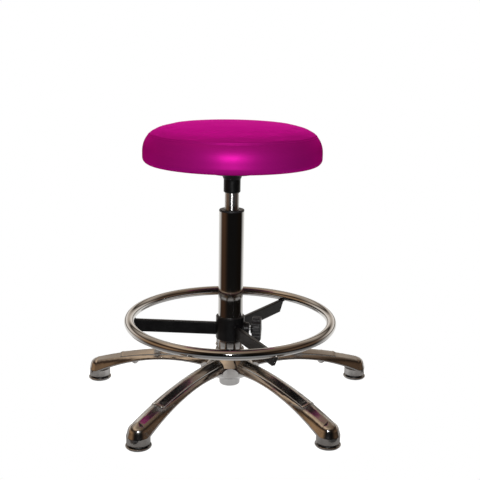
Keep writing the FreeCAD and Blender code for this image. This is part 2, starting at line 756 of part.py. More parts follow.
def piston():
    """Piston at the rod's upper end, with a seal groove."""
    bore = ROD_RADIUS + SEAT_GAP
    outside = TUBE_BORE - RUN_GAP
    high = PISTON_LOW + PISTON_HEIGHT
    low = PISTON_LOW + (PISTON_HEIGHT - PISTON_GROOVE) / 2
    body = tube(outside, bore, PISTON_LOW, high)
    return body.cut(tube(outside + PAST, outside - PISTON_GROOVE_DEPTH, low, low + PISTON_GROOVE))


# Pressure tube and its valve

def pressure_tube():
    """Chromed tube that carries the seat, with a tapered head and a closed crown."""
    lip_bore = TUBE_BORE - TUBE_LIP
    return revolved(plain([
        (lip_bore, TUBE_BOTTOM),
        (TUBE_RADIUS, TUBE_BOTTOM),
        (TUBE_RADIUS, TUBE_TAPER_START),
        (TUBE_TOP_RADIUS, TUBE_TOP),
        (PIN_RADIUS + RUN_GAP, TUBE_TOP),
        (PIN_RADIUS + RUN_GAP, TUBE_TOP - TUBE_LIP),
        (TUBE_TOP_RADIUS - TUBE_WALL, TUBE_TOP - TUBE_LIP),
        (TUBE_BORE, TUBE_TAPER_START),
        (TUBE_BORE, TUBE_BOTTOM + TUBE_LIP),
        (lip_bore, TUBE_BOTTOM + TUBE_LIP),
    ]))


def rod_guide():
    """Seal and guide pack at the pressure tube's lower end."""
    low = TUBE_BOTTOM + TUBE_LIP + SEAT_GAP
    return tube(TUBE_BORE - SEAT_GAP, ROD_RADIUS + RUN_GAP, low, low + GUIDE_HEIGHT)


def valve_body():
    """Valve block in the pressure tube's head, bored for the release pin."""
    high = TUBE_TOP - TUBE_LIP - SEAT_GAP
    outside = TUBE_TOP_RADIUS - TUBE_WALL - SEAT_GAP
    return tube(outside, PIN_RADIUS + RUN_GAP, high - VALVE_HEIGHT, high)


def release_pin():
    """Pin that opens the valve when the lever presses it."""
    return revolved([
        (0.0, PIN_TOP - PIN_LENGTH, 0.0),
        (PIN_RADIUS, PIN_TOP - PIN_LENGTH, 0.0),
        (PIN_RADIUS, PIN_TOP, PIN_ROUND),
        (0.0, PIN_TOP, 0.0),
    ])


# Socket, plate and release lever

def taper_socket():
    """Tapered socket on the pressure tube's head, flared where it meets the plate."""
    return revolved([
        (TUBE_RADIUS + SEAT_GAP, SOCKET_BOTTOM, 0.0),
        (SOCKET_RADIUS - SOCKET_CHAMFER, SOCKET_BOTTOM, 0.0),
        (SOCKET_RADIUS, SOCKET_BOTTOM + SOCKET_CHAMFER, SOCKET_CHAMFER / 2),
        (SOCKET_RADIUS, SOCKET_TOP - SOCKET_FLARE_HEIGHT, SOCKET_FLARE_ROUND),
        (SOCKET_RADIUS + SOCKET_FLARE, SOCKET_TOP, 0.0),
        (tube_radius(SOCKET_TOP) + SEAT_GAP, SOCKET_TOP, 0.0),
        (TUBE_RADIUS + SEAT_GAP, TUBE_TAPER_START, 0.0),
    ])


def plate_screw_places():
    """Centres of the plate's screws."""
    places = []
    for index in range(PLATE_SCREWS):
        angle = math.radians(PLATE_SCREW_ANGLE + 360.0 * index / PLATE_SCREWS)
        places.append((PLATE_SCREW_CIRCLE * math.cos(angle), PLATE_SCREW_CIRCLE * math.sin(angle)))
    return places


def drilled(shape, radius, low, high):
    """A shape with a hole at each of the plate's screws."""
    for x, y in plate_screw_places():
        shape = shape.cut(disc(radius, low, high, x, y))
    return shape


def seat_plate():
    """Pressed steel plate: a dished middle that houses the lever and a flange screwed to the board."""
    hole = TUBE_RADIUS + PLATE_HOLE_ROOM
    outer_round = DISH_ROUND + PLATE_THICK
    floor_low = DISH_FLOOR - PLATE_THICK
    flange_low = FLANGE_TOP - PLATE_THICK
    plate = revolved([
        (hole, floor_low, 0.0),
        (DISH_FLOOR_RADIUS, floor_low, outer_round),
        (DISH_RIM_RADIUS + PLATE_THICK, flange_low, DISH_ROUND),
        (PLATE_RADIUS, flange_low, PLATE_THICK / 3),
        (PLATE_RADIUS, FLANGE_TOP, 0.0),
        (DISH_RIM_RADIUS, FLANGE_TOP, outer_round),
        (DISH_FLOOR_RADIUS - PLATE_THICK, DISH_FLOOR, DISH_ROUND),
        (hole, DISH_FLOOR, 0.0),
    ])
    slot_end = LEVER_LOW + PLATE_THICK
    slot = block(LEVER_PIVOT, slot_end, SLOT_HALF, DISH_FLOOR + PAST, FLANGE_TOP + PAST)
    plate = plate.cut(turned(slot, LEVER_ANGLE))
    return drilled(plate, PLATE_SCREW_SHANK + SEAT_GAP, flange_low - PAST, FLANGE_TOP + PAST)


def lever_bracket():
    """Bent bracket in the dish, with two ears for the lever's pivot."""
    outside = BRACKET_INSIDE + BRACKET_WALL
    half = BRACKET_LENGTH / 2
    top = LEVER_HEIGHT + BRACKET_RISE
    # Its outer edge stops where the dish starts to rise.
    reach = min(LEVER_PIVOT + half, DISH_FLOOR_RADIUS - PLATE_THICK - BRACKET_WALL)
    low = DISH_FLOOR + SEAT_GAP
    body = block(LEVER_PIVOT - half, reach, outside, low, top)
    room = block(LEVER_PIVOT - half - PAST, reach + PAST, BRACKET_INSIDE, low + BRACKET_BASE, top + PAST)
    hole = Part.makeCylinder(
        PIVOT_RADIUS + SEAT_GAP, 4 * outside, Vector(LEVER_PIVOT, -2 * outside, LEVER_HEIGHT), Vector(0, 1, 0)
    )
    return turned(body.cut(room).cut(hole), LEVER_ANGLE)


def lever_pivot():
    """Pin through the bracket's ears."""
    half = BRACKET_INSIDE + BRACKET_WALL + PIVOT_END
    pin = Part.makeCylinder(PIVOT_RADIUS, 2 * half, Vector(LEVER_PIVOT, -half, LEVER_HEIGHT), Vector(0, 1, 0))
    return turned(pin, LEVER_ANGLE)


def rod_between(start, end, radius):
    """A straight round bar between two points."""
    along = end - start
    return Part.makeCylinder(radius, along.Length, start, along)


def release_lever():
    """Bent rod: its inner end presses the pin, its outer end runs lower under the seat."""
    low_height = LEVER_HEIGHT - LEVER_SINK
    points = [
        Vector(-LEVER_INNER, 0, LEVER_HEIGHT),
        Vector(LEVER_BEND, 0, LEVER_HEIGHT),
        Vector(LEVER_LOW, 0, low_height),
        Vector(LEVER_END, 0, low_height),
    ]
    rod = rod_between(points[0], points[1], LEVER_RADIUS)
    for start, end in zip(points[1:], points[2:]):
        rod = rod.fuse([Part.makeSphere(LEVER_RADIUS, start), rod_between(start, end, LEVER_RADIUS)])
    hole = Part.makeCylinder(
        PIVOT_RADIUS + RUN_GAP, 4 * LEVER_RADIUS, Vector(LEVER_PIVOT, -2 * LEVER_RADIUS, LEVER_HEIGHT),
        Vector(0, 1, 0)
    )
    return turned(rod.cut(hole), LEVER_ANGLE)


def lever_grip():
    """Flat moulded grip on the lever's outer end."""
    middle = LEVER_HEIGHT - LEVER_SINK
    body = block(GRIP_START, GRIP_END, GRIP_HALF, middle - GRIP_THICK / 2, middle + GRIP_THICK / 2)
    body = body.makeFillet(GRIP_ROUND, body.Edges)
    depth = LEVER_END - GRIP_START + PAST + SEAT_GAP
    mouth = Vector(GRIP_START - PAST, 0, middle)
    hole = Part.makeCylinder(LEVER_RADIUS + SEAT_GAP, depth, mouth, Vector(1, 0, 0))
    return turned(body.cut(hole), LEVER_ANGLE)


def plate_screws():
    """Screws through the plate's flange into the board."""
    seat = FLANGE_TOP - PLATE_THICK - SEAT_GAP
    screws = []
    for x, y in plate_screw_places():
        head = disc(PLATE_SCREW_HEAD, seat - PLATE_SCREW_HEAD_HEIGHT, seat, x, y)
        head = head.makeFillet(PLATE_SCREW_ROUND, [head.Edges[2]])
        tip = BOARD_TOP - PLATE_SCREW_COVER
        screws.append(head.fuse(disc(PLATE_SCREW_SHANK, seat - PAST, tip, x, y)))
    return Part.makeCompound(screws)


def tee_nuts():
    """Threaded nuts let into the board from above."""
    flange_low = BOARD_TOP - TEE_FLANGE_THICK
    nuts = []
    for x, y in plate_screw_places():
        nut = disc(TEE_BARREL, BOARD_BOTTOM + PLATE_SCREW_COVER, BOARD_TOP, x, y)
        nut = nut.fuse(disc(TEE_FLANGE, flange_low, BOARD_TOP, x, y))
        nuts.append(nut.cut(disc(PLATE_SCREW_SHANK + SEAT_GAP, BOARD_BOTTOM, BOARD_TOP + PAST, x, y)))
    return Part.makeCompound(nuts)


# Seat

def seat_outline(inset):
    """Closed half section of the seat, inset from its outer face: crown, round shoulder, round lower edge."""
    crown = CROWN_RADIUS - inset
    shoulder = UPPER_ROUND - inset
    lower = LOWER_ROUND - inset
    side = SEAT_RADIUS - inset
    bottom = SEAT_BOTTOM + inset
    crown_middle = Vector(0, 0, SEAT_TOP - CROWN_RADIUS)
    shoulder_reach = SEAT_RADIUS - UPPER_ROUND
    rise = math.sqrt((CROWN_RADIUS - UPPER_ROUND) ** 2 - shoulder_reach ** 2)
    shoulder_middle = crown_middle + Vector(shoulder_reach, 0, rise)
    lower_middle = Vector(SEAT_RADIUS - LOWER_ROUND, 0, SEAT_BOTTOM + LOWER_ROUND)

    def on_arc(middle, radius, angle):
        return middle + Vector(radius * math.cos(angle), 0, radius * math.sin(angle))

    tangent = math.atan2(rise, shoulder_reach)
    upright = math.pi / 2
    apex = on_arc(crown_middle, crown, upright)
    crown_end = on_arc(crown_middle, crown, tangent)
    side_top = Vector(side, 0, shoulder_middle.z)
    side_low = Vector(side, 0, lower_middle.z)
    foot = Vector(lower_middle.x, 0, bottom)
    edges = [
        Part.Arc(apex, on_arc(crown_middle, crown, (upright + tangent) / 2), crown_end).toShape(),
        Part.Arc(crown_end, on_arc(shoulder_middle, shoulder, tangent / 2), side_top).toShape(),
        Part.LineSegment(side_top, side_low).toShape(),
        Part.Arc(side_low, on_arc(lower_middle, lower, -upright / 2), foot).toShape(),
        Part.LineSegment(foot, Vector(0, 0, bottom)).toShape(),
        Part.LineSegment(Vector(0, 0, bottom), apex).toShape(),
    ]
    return Part.Face(Part.Wire(edges))


def seat_form(inset):
    """The seat's solid form, inset from its outer face."""
    return seat_outline(inset).revolve(ORIGIN, UP, 360)


def cover_shell():
    """The whole cover, open underneath."""
    shell = seat_form(0.0).cut(seat_form(COVER_THICK))
    return shell.cut(disc(COVER_WRAP, SEAT_BOTTOM - PAST, COVER_BOTTOM_INSIDE + PAST))


def cover_top():
    """Top panel of the cover, above the seam."""
    room = disc(2 * SEAT_RADIUS, SEAT_BOTTOM - PAST, SEAM_HEIGHT + SEAM_GAP / 2)
    return cover_shell().cut(room)


def cover_band():
    """Side band of the cover, from the seam to its turned-in edge under the board."""
    room = disc(2 * SEAT_RADIUS, SEAM_HEIGHT - SEAM_GAP / 2, SEAT_TOP + PAST)
    return cover_shell().cut(room)


def seat_foam():
    """Foam pad on and round the board."""
    foam = seat_form(COVER_THICK + SEAT_GAP)
    room = disc(BOARD_RADIUS + SEAT_GAP, SEAT_BOTTOM - PAST, BOARD_TOP + SEAT_GAP)
    return foam.cut(room)


def seat_board():
    """Plywood board with a seat for each threaded nut."""
    board = disc(BOARD_RADIUS, BOARD_BOTTOM, BOARD_TOP)
    board = drilled(board, TEE_BARREL + SEAT_GAP, BOARD_BOTTOM - PAST, BOARD_TOP + PAST)
    return drilled(board, TEE_FLANGE + SEAT_GAP, BOARD_TOP - TEE_FLANGE_THICK - SEAT_GAP, BOARD_TOP + PAST)


def dust_cover():
    """Thin cloth under the board, inside the cover's turned-in edge."""
    top = DUST_BOTTOM + DUST_THICK
    cloth = disc(COVER_WRAP - DUST_MARGIN, DUST_BOTTOM, top)
    return drilled(cloth, PLATE_SCREW_SHANK + FACE_GAP, DUST_BOTTOM - PAST, top + PAST)


# Foot ring

def clamp_liner():
    """Slit plastic sleeve between the column and the clamp."""
    sleeve = tube(LINER_RADIUS, LINER_BORE, CLAMP_BOTTOM - LINER_LIP, CLAMP_TOP + LINER_LIP)
    slit = block(-2 * LINER_RADIUS, 0.0, LINER_SLIT / 2, 0.0, 2 * CLAMP_TOP)
    return turned(sleeve.cut(slit), RING_YAW)


def screw_hole():
    """The clamp screw's hole through the clamp and its boss, along +X."""
    return Part.makeCylinder(
        CLAMP_SCREW + RUN_GAP, 2 * CLAMP_BOSS_END, Vector(0, 0, SCREW_AXIS_HEIGHT), Vector(1, 0, 0)
    )


def ring_clamp():
    """Steel sleeve that the arms and the screw boss are welded to."""
    sleeve = revolved([
        (CLAMP_BORE, CLAMP_BOTTOM, 0.0),
        (CLAMP_RADIUS, CLAMP_BOTTOM, CLAMP_ROUND),
        (CLAMP_RADIUS, CLAMP_TOP, CLAMP_ROUND),
        (CLAMP_BORE, CLAMP_TOP, 0.0),
    ])
    return turned(sleeve.cut(screw_hole()), RING_YAW)


def clamp_core():
    """The room that the clamp's sleeve takes."""
    return disc(CLAMP_RADIUS + SEAT_GAP, 0.0, 2 * CLAMP_TOP)


def clamp_boss():
    """Round boss with the clamp screw's thread."""
    boss = Part.makeCylinder(CLAMP_BOSS, CLAMP_BOSS_END, Vector(0, 0, SCREW_AXIS_HEIGHT), Vector(1, 0, 0))
    rim = [edge for edge in boss.Edges if edge.BoundBox.XMin > CLAMP_BOSS_END - SEAT_GAP]
    boss = boss.makeFillet(CLAMP_BOSS_ROUND, rim)
    return turned(boss.cut(clamp_core()).cut(screw_hole()), RING_YAW)


def ring_solid(minor):
    """A solid ring on the foot ring's centre line."""
    return Part.makeTorus(RING_MAJOR, minor, Vector(0, 0, RING_HEIGHT), UP)


def foot_ring():
    """Bent tube that the feet rest on."""
    return ring_solid(RING_TUBE).cut(ring_solid(RING_TUBE - RING_WALL))


def ring_arm(index):
    """One flat bar from the clamp to the ring, saddled under the ring and bevelled at its end."""
    corners = plain([
        (0.0, ARM_BOTTOM),
        (RING_MAJOR - ARM_BEVEL, ARM_BOTTOM),
        (RING_MAJOR, ARM_TOP),
        (0.0, ARM_TOP),
    ])
    outline = rounded_wire(corners, lambda u, v: Vector(u, -ARM_THICK / 2, v))
    bar = Part.Face(outline).extrude(Vector(0, ARM_THICK, 0))
    boxes = [(edge, edge.BoundBox) for edge in bar.Edges]
    long_edges = [edge for edge, box in boxes if box.YLength < SEAT_GAP and box.XMax > CLAMP_RADIUS]
    bar = bar.makeFillet(ARM_ROUND, long_edges)
    bar = bar.cut(clamp_core()).cut(ring_solid(RING_TUBE + SEAT_GAP))
    return turned(bar, RING_YAW + 180.0 + 360.0 * index / ARM_COUNT)


# Clamp screw and knob, along +X before they are turned

def along_x(corners):
    """A solid turned about the clamp screw's axis from an outline of (radius, distance, corner radius)."""
    solid = revolved(corners)
    solid.rotate(ORIGIN, Vector(0, 1, 0), 90)
    solid.translate(Vector(0, 0, SCREW_AXIS_HEIGHT))
    return solid


def clamp_pad():
    """Pad at the screw's tip that presses the liner."""
    pad = Part.makeCylinder(CLAMP_SCREW, PAD_THICK, Vector(PAD_START, 0, SCREW_AXIS_HEIGHT), Vector(1, 0, 0))
    return turned(pad, RING_YAW)


def clamp_screw():
    """Threaded rod fixed in the knob."""
    length = KNOB_START + KNOB_SCREW_DEPTH - SCREW_START
    rod = Part.makeCylinder(CLAMP_SCREW, length, Vector(SCREW_START, 0, SCREW_AXIS_HEIGHT), Vector(1, 0, 0))
    return turned(rod, RING_YAW)


def clamp_knob():
    """Fluted hand knob."""
    shoulder = KNOB_START + KNOB_NECK_LENGTH
    body = along_x([
        (0.0, KNOB_START, 0.0),
        (KNOB_NECK, KNOB_START, 0.0),
        (KNOB_NECK + KNOB_NECK_FLARE, shoulder, 0.0),
        (KNOB_RADIUS, shoulder, KNOB_ROUND),
        (KNOB_RADIUS, KNOB_END - KNOB_CROWN, KNOB_ROUND),
        (0.0, KNOB_END, 0.0),
    ])
    flutes = []
    for index in range(KNOB_FLUTES):
        angle = 2 * math.pi * index / KNOB_FLUTES
        reach = KNOB_RADIUS + KNOB_FLUTE / 2
        place = Vector(shoulder - PAST, reach * math.cos(angle), SCREW_AXIS_HEIGHT + reach * math.sin(angle))
        flutes.append(Part.makeCylinder(KNOB_FLUTE, KNOB_END - shoulder + 2 * PAST, place, Vector(1, 0, 0)))
    hole = Part.makeCylinder(
        CLAMP_SCREW + SEAT_GAP, KNOB_SCREW_DEPTH + PAST + SEAT_GAP,
        Vector(KNOB_START - PAST, 0, SCREW_AXIS_HEIGHT), Vector(1, 0, 0)
    )
    return turned(body.cut(flutes).cut(hole), RING_YAW)


def all_pieces():
    """Every node of the stool by name."""
    pieces = {
        "star_base": star_base(),
        "strip_screws": Part.makeCompound([turned(strip_screw(), angle) for angle in leg_angles()]),
        "column_tube": column_tube(),
        "guide_bush": guide_bush(),
        "column_floor": column_floor(),
        "lower_race": lower_race(),
        "upper_race": upper_race(),
        "bearing_balls": bearing_balls(),
        "ball_cage": ball_cage(),
        "rubber_buffer": rubber_buffer(),
        "piston_rod": piston_rod(),
        "rod_clip": rod_clip(),
        "piston": piston(),
        "pressure_tube": pressure_tube(),
        "rod_guide": rod_guide(),
        "valve_body": valve_body(),
        "release_pin": release_pin(),
        "taper_socket": taper_socket(),
        "seat_plate": seat_plate(),
        "lever_bracket": lever_bracket(),
        "lever_pivot": lever_pivot(),
        "release_lever": release_lever(),
        "lever_grip": lever_grip(),
        "plate_screws": plate_screws(),
        "tee_nuts": tee_nuts(),
        "seat_board": seat_board(),
        "seat_foam": seat_foam(),
        "cover_top": cover_top(),
        "cover_band": cover_band(),
        "dust_cover": dust_cover(),
        "clamp_liner": clamp_liner(),
        "ring_clamp": ring_clamp(),
        "clamp_boss": clamp_boss(),
        "foot_ring": foot_ring(),
        "clamp_pad": clamp_pad(),
        "clamp_screw": clamp_screw(),
        "clamp_knob": clamp_knob(),
    }
    strip = tread_strip()
    cap = glide_cap()
    collar = glide_collar()
    for number, angle in enumerate(leg_angles(), start=1):
        pieces[f"tread_strip_{number}"] = turned(strip, angle)
        pieces[f"glide_cap_{number}"] = turned(cap, angle)
        pieces[f"glide_collar_{number}"] = turned(collar, angle)
    for index in range(ARM_COUNT):
        pieces[f"ring_arm_{index + 1}"] = ring_arm(index)
    return pieces


os.makedirs("parts", exist_ok=True)
for name, shape in all_pieces().items():
    shape.exportStep(f"parts/{name}.step")
    solids = len(shape.Solids)
    print(f"{name}: {solids} solid(s), valid {shape.isValid()}, {shape.Volume / 1000:.2f} cm3")
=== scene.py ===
"""Looks of a round padded stool with a gas lift, a foot ring and a five-leg base.

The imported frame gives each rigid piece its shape. This script gives every piece its finish, makes the
padded seat, the lining cloth, the strips on the legs and the weld beads, and sets up the studio. Sizes
are in metres.
"""

import json
import logging
import math
from dataclasses import dataclass
from enum import Enum
from typing import Callable, Iterable, Sequence

import bpy
from mathutils import Matrix, Vector, noise


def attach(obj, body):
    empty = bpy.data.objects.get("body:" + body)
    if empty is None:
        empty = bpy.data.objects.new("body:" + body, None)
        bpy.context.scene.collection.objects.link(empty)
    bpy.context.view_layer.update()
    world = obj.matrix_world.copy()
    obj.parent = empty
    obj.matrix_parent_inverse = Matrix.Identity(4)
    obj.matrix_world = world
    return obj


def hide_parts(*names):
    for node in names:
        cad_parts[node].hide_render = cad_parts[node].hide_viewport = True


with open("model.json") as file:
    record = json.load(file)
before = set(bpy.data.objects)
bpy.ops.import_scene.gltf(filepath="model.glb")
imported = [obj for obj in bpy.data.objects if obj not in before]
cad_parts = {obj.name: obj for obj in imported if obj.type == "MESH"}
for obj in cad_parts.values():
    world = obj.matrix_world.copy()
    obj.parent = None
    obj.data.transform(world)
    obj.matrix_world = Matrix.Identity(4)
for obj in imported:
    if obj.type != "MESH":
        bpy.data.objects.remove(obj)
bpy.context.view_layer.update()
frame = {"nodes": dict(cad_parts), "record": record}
LOG = logging.getLogger("stool")

Colour = tuple[float, float, float]
Point = tuple[float, float, float]
Span = tuple[float, float]
Scale = tuple[tuple[float, Colour], ...]
Socket = bpy.types.NodeSocket
Piece = bpy.types.Object
Inputs = dict[str | int, object]

QUARTER = math.pi / 2.0
WHITE = (1.0, 1.0, 1.0)
# The colour sockets of a Mix node share their names with its other sockets.
MIX_FIRST = 6
MIX_SECOND = 7
MIX_COLOUR = 2
# A new colour scale has two stops already.
READY_STOPS = 2


def toned(colour: Colour, times: float, plus: float = 0.0) -> Colour:
    """A darker or paler tone of a colour."""
    return tuple(value * times + plus for value in colour)


def section(out: float, height: float) -> Vector:
    """A point of a section through the upright axis."""
    return Vector((out, 0.0, height))


@dataclass(frozen=True)
class Cloud:
    """A cloudy pattern: clouds per metre, depth of detail and roughness of the detail."""

    scale: float
    detail: float = 3.0
    rough: float = 0.5


class NodeGraph:
    """The shader nodes of one material or world, added and joined in reading order."""

    def __init__(self, tree: bpy.types.NodeTree) -> None:
        """Keeps the tree that the nodes go into."""
        self.tree = tree

    def feed(self, node: bpy.types.Node, inputs: Inputs) -> None:
        """Sets some of a node's inputs.

        Args:
            node: the node that is fed.
            inputs: socket names or numbers, with a value to set or a socket to link.
        """
        for key, value in inputs.items():
            if isinstance(value, Socket):
                self.tree.links.new(value, node.inputs[key])
            else:
                node.inputs[key].default_value = value

    def add(self, kind: str, inputs: Inputs | None = None, **settings: object) -> bpy.types.Node:
        """Adds one node.

        Args:
            kind: the node's type name.
            inputs: what it is fed with.
            settings: the node's own properties.

        Returns:
            The new node.
        """
        node = self.tree.nodes.new(kind)
        for name, value in settings.items():
            setattr(node, name, value)
        self.feed(node, inputs or {})
        return node

    def place(self) -> Socket:
        """The point on the piece, in Object coordinates."""
        return self.add("ShaderNodeTexCoord").outputs["Object"]

    def noise(self, point: Socket, cloud: Cloud) -> Socket:
        """Soft cloudy values from 0 to 1."""
        inputs = {"Vector": point, "Scale": cloud.scale, "Detail": cloud.detail, "Roughness": cloud.rough}
        return self.add("ShaderNodeTexNoise", inputs).outputs["Fac"]

    def cells(self, point: Socket, scale: float) -> Socket:
        """Softened distance to the nearest of scattered points, for grain and pores."""
        inputs = {"Vector": point, "Scale": scale}
        return self.add("ShaderNodeTexVoronoi", inputs, feature="SMOOTH_F1").outputs["Distance"]

    def bands(self, point: Socket, scale: float, waver: float, way: str) -> Socket:
        """Wavering bands across one axis, such as threads or plies.

        Args:
            point: where the pattern is read.
            scale: the pattern's scale.
            waver: how far the bands stray.
            way: the axis that they lie across.

        Returns:
            Values from 0 to 1.
        """
        inputs = {"Vector": point, "Scale": scale, "Distortion": waver}
        node = self.add("ShaderNodeTexWave", inputs, wave_type="BANDS", bands_direction=way)
        return node.outputs["Fac"]

    def stretch(self, point: Socket, scale: Sequence[float]) -> Socket:
        """The point with each axis scaled, so that a pattern runs in one direction."""
        return self.add("ShaderNodeMapping", {"Vector": point, "Scale": scale}).outputs["Vector"]

    def spread(
        self, value: Socket, to: Span = (0.0, 1.0), over: Span = (0.0, 1.0), soft: bool = False
    ) -> Socket:
        """Maps a value to a span and holds it there.

        Args:
            value: what is mapped.
            to: the results at the two ends.
            over: the values at the two ends.
            soft: whether it eases in and out.

        Returns:
            The mapped value.
        """
        inputs = {"Value": value, "From Min": over[0], "From Max": over[1]}
        inputs |= {"To Min": to[0], "To Max": to[1]}
        how = "SMOOTHSTEP" if soft else "LINEAR"
        return self.add("ShaderNodeMapRange", inputs, interpolation_type=how).outputs["Result"]

    def sum(self, first: Socket | float, second: Socket | float, how: str = "ADD") -> Socket:
        """Two values put together by a Math operation."""
        return self.add("ShaderNodeMath", {0: first, 1: second}, operation=how).outputs["Value"]

    def weigh(self, first: Socket, share: float, second: Socket, other: float) -> Socket:
        """Two values added, each times its own share."""
        return self.sum(self.sum(first, share, "MULTIPLY"), self.sum(second, other, "MULTIPLY"))

    def blend(self, amount: Socket, first: Colour | Socket, second: Colour | Socket) -> Socket:
        """A colour between two, by an amount from 0 to 1.

        Args:
            amount: how much of the second.
            first: the colour at 0.
            second: the colour at 1.

        Returns:
            The colour between them.
        """
        node = self.add("ShaderNodeMix", {"Factor": amount}, data_type="RGBA")
        for key, value in ((MIX_FIRST, first), (MIX_SECOND, second)):
            self.feed(node, {key: value if isinstance(value, Socket) else (*value, 1.0)})
        return node.outputs[MIX_COLOUR]

    def ramp(self, value: Socket, stops: Iterable[tuple[float, Colour]]) -> Socket:
        """A colour read off a scale of stops.

        Args:
            value: where it is read.
            stops: positions and colours, the two ends first.

        Returns:
            The colour at that place.
        """
        node = self.add("ShaderNodeValToRGB", {"Fac": value})
        band = node.color_ramp.elements
        for number, (position, colour) in enumerate(stops):
            element = band[number] if number < READY_STOPS else band.new(position)
            element.position = position
            element.color = (*colour, 1.0)
        return node.outputs["Color"]

    def bump(
        self, height: Socket, depth: float, strength: float = 1.0, under: Socket | None = None
    ) -> Socket:
        """A normal raised by a height, on top of another normal if one is given.

        Args:
            height: values from 0 to 1.
            depth: how high a value of 1 stands, in metres.
            strength: how much of it shows.
            under: the normal below it.

        Returns:
            The raised normal.
        """
        inputs = {"Height": height, "Distance": depth, "Strength": strength}
        if under is not None:
            inputs["Normal"] = under
        return self.add("ShaderNodeBump", inputs).outputs["Normal"]


class Slot(Enum):
    """The record's material slots."""

    ALUMINIUM = "polished_aluminium"
    CHROME = "chrome"
    STEEL = "steel"
    BLACK_STEEL = "black_steel"
    BLACK_PLASTIC = "black_plastic"
    BRASS = "brass"
    RUBBER = "black_rubber"
    PLYWOOD = "plywood"
    FOAM = "foam"
    VINYL = "magenta_vinyl"
    CLOTH = "black_cloth"


@dataclass(frozen=True)
class Finish:
    """What every finish has: a slot. Each kind of finish adds its own nodes."""

    slot: Slot

    def material(self) -> bpy.types.Material:
        """Makes the material.

        Returns:
            A new material with the finish's nodes.
        """
        made = bpy.data.materials.new(self.slot.value)
        made.use_nodes = True
        graph = NodeGraph(made.node_tree)
        graph.feed(made.node_tree.nodes["Principled BSDF"], self.build(graph))
        return made

    def build(self, graph: NodeGraph) -> Inputs:
        """Adds the finish's nodes.

        Args:
            graph: the material's nodes.

        Returns:
            What goes into the shader.
        """
        raise NotImplementedError


@dataclass(frozen=True)
class Plating(Finish):
    """Bright plated steel: a mirror with faint handling smears and the slow waves of drawn tube."""

    colour: Colour = (0.62, 0.61, 0.60)
    tarnish: float = 0.9
    smear: Span = (0.035, 0.10)
    speck: Span = (0.0, 0.06)
    wave: float = 0.00012

    def build(self, graph: NodeGraph) -> Inputs:
        """Smears and dust specks in the roughness, tarnish in the colour and a slow wave.

        Args:
            graph: the material's nodes.

        Returns:
            What goes into the shader.
        """
        point = graph.place()
        smears = graph.noise(graph.stretch(point, (1.0, 1.0, 0.35)), Cloud(55.0, 5.0, 0.6))
        dust = graph.noise(point, Cloud(900.0, 2.0))
        tarnished = graph.spread(graph.noise(point, Cloud(18.0, 4.0)), over=(0.35, 0.75))
        rough = graph.spread(smears, self.smear, over=(0.4, 0.75))
        specks = graph.spread(dust, self.speck, over=(0.66, 0.8))
        slow = graph.noise(graph.stretch(point, (1.0, 1.0, 0.25)), Cloud(22.0, 1.0))
        return {
            "Metallic": 1.0,
            "Base Color": graph.blend(tarnished, self.colour, toned(self.colour, self.tarnish)),
            "Roughness": graph.sum(rough, specks),
            "Normal": graph.bump(slow, self.wave),
        }


@dataclass(frozen=True)
class GroundPlating(Plating):
    """Bright plated tube ground round its axis: highlights draw out along the tube."""

    drawn_out: float = 0.92
    turn: float = 0.25
    gloss: float = 0.34

    def build(self, graph: NodeGraph) -> Inputs:
        """The plating's slow waves, with a gloss that grinding draws out along the axis.

        Args:
            graph: the material's nodes.

        Returns:
            What goes into the shader.
        """
        plated = super().build(graph)
        round_axis = graph.add("ShaderNodeTangent", direction_type="RADIAL", axis="Z")
        ground = {
            "Roughness": self.gloss,
            "Anisotropic": self.drawn_out,
            "Anisotropic Rotation": self.turn,
            "Tangent": round_axis.outputs["Tangent"],
        }
        return plated | ground


@dataclass(frozen=True)
class PolishedCasting(Finish):
    """Buffed aluminium casting: bright, a little wavy, with buffing marks and dull patches."""

    colour: Colour = (0.60, 0.585, 0.57)
    dull: float = 0.86
    rough: Span = (0.11, 0.24)
    scratch: Span = (0.0, 0.08)
    wave: float = 0.0005
    mark: float = 0.00001

    def build(self, graph: NodeGraph) -> Inputs:
        """Buffing marks along the legs, dull patches and a cast surface's slow waves.

        Args:
            graph: the material's nodes.

        Returns:
            What goes into the shader.
        """
        point = graph.place()
        patches = graph.noise(point, Cloud(30.0, 5.0, 0.6))
        marks = graph.noise(graph.stretch(point, (1.0, 1.0, 6.0)), Cloud(420.0, 3.0, 0.7))
        stain = graph.spread(patches, over=(0.4, 0.8))
        rough = graph.spread(patches, self.rough, over=(0.35, 0.8))
        scratch = graph.spread(marks, self.scratch, over=(0.55, 0.85))
        waves = graph.bump(graph.noise(point, Cloud(34.0, 2.0)), self.wave)
        return {
            "Metallic": 1.0,
            "Base Color": graph.blend(stain, self.colour, toned(self.colour, self.dull)),
            "Roughness": graph.sum(rough, scratch),
            "Normal": graph.bump(marks, self.mark, 0.5, waves),
        }


@dataclass(frozen=True)
class PowderCoat(Finish):
    """Satin black coat on steel: a fine orange peel with a few rubbed patches."""

    colour: Colour = (0.0035, 0.0035, 0.004)
    rough: Span = (0.28, 0.42)
    gloss: float = 0.32
    peel: float = 0.00012
    peel_scale: float = 1100.0

    def build(self, graph: NodeGraph) -> Inputs:
        """Orange peel in the surface, rubbed patches in the gloss, dust in the colour.

        Args:
            graph: the material's nodes.

        Returns:
            What goes into the shader.
        """
        point = graph.place()
        rubbed = graph.noise(point, Cloud(40.0, 5.0, 0.6))
        peel = graph.cells(point, self.peel_scale)
        dust = graph.spread(graph.noise(point, Cloud(160.0, 6.0, 0.7)), over=(0.5, 0.85))
        return {
            "Base Color": graph.blend(dust, self.colour, toned(self.colour, 2.0, 0.001)),
            "Roughness": graph.spread(rubbed, self.rough, over=(0.3, 0.75)),
            "Specular IOR Level": self.gloss,
            "Normal": graph.bump(peel, self.peel, 0.45),
        }


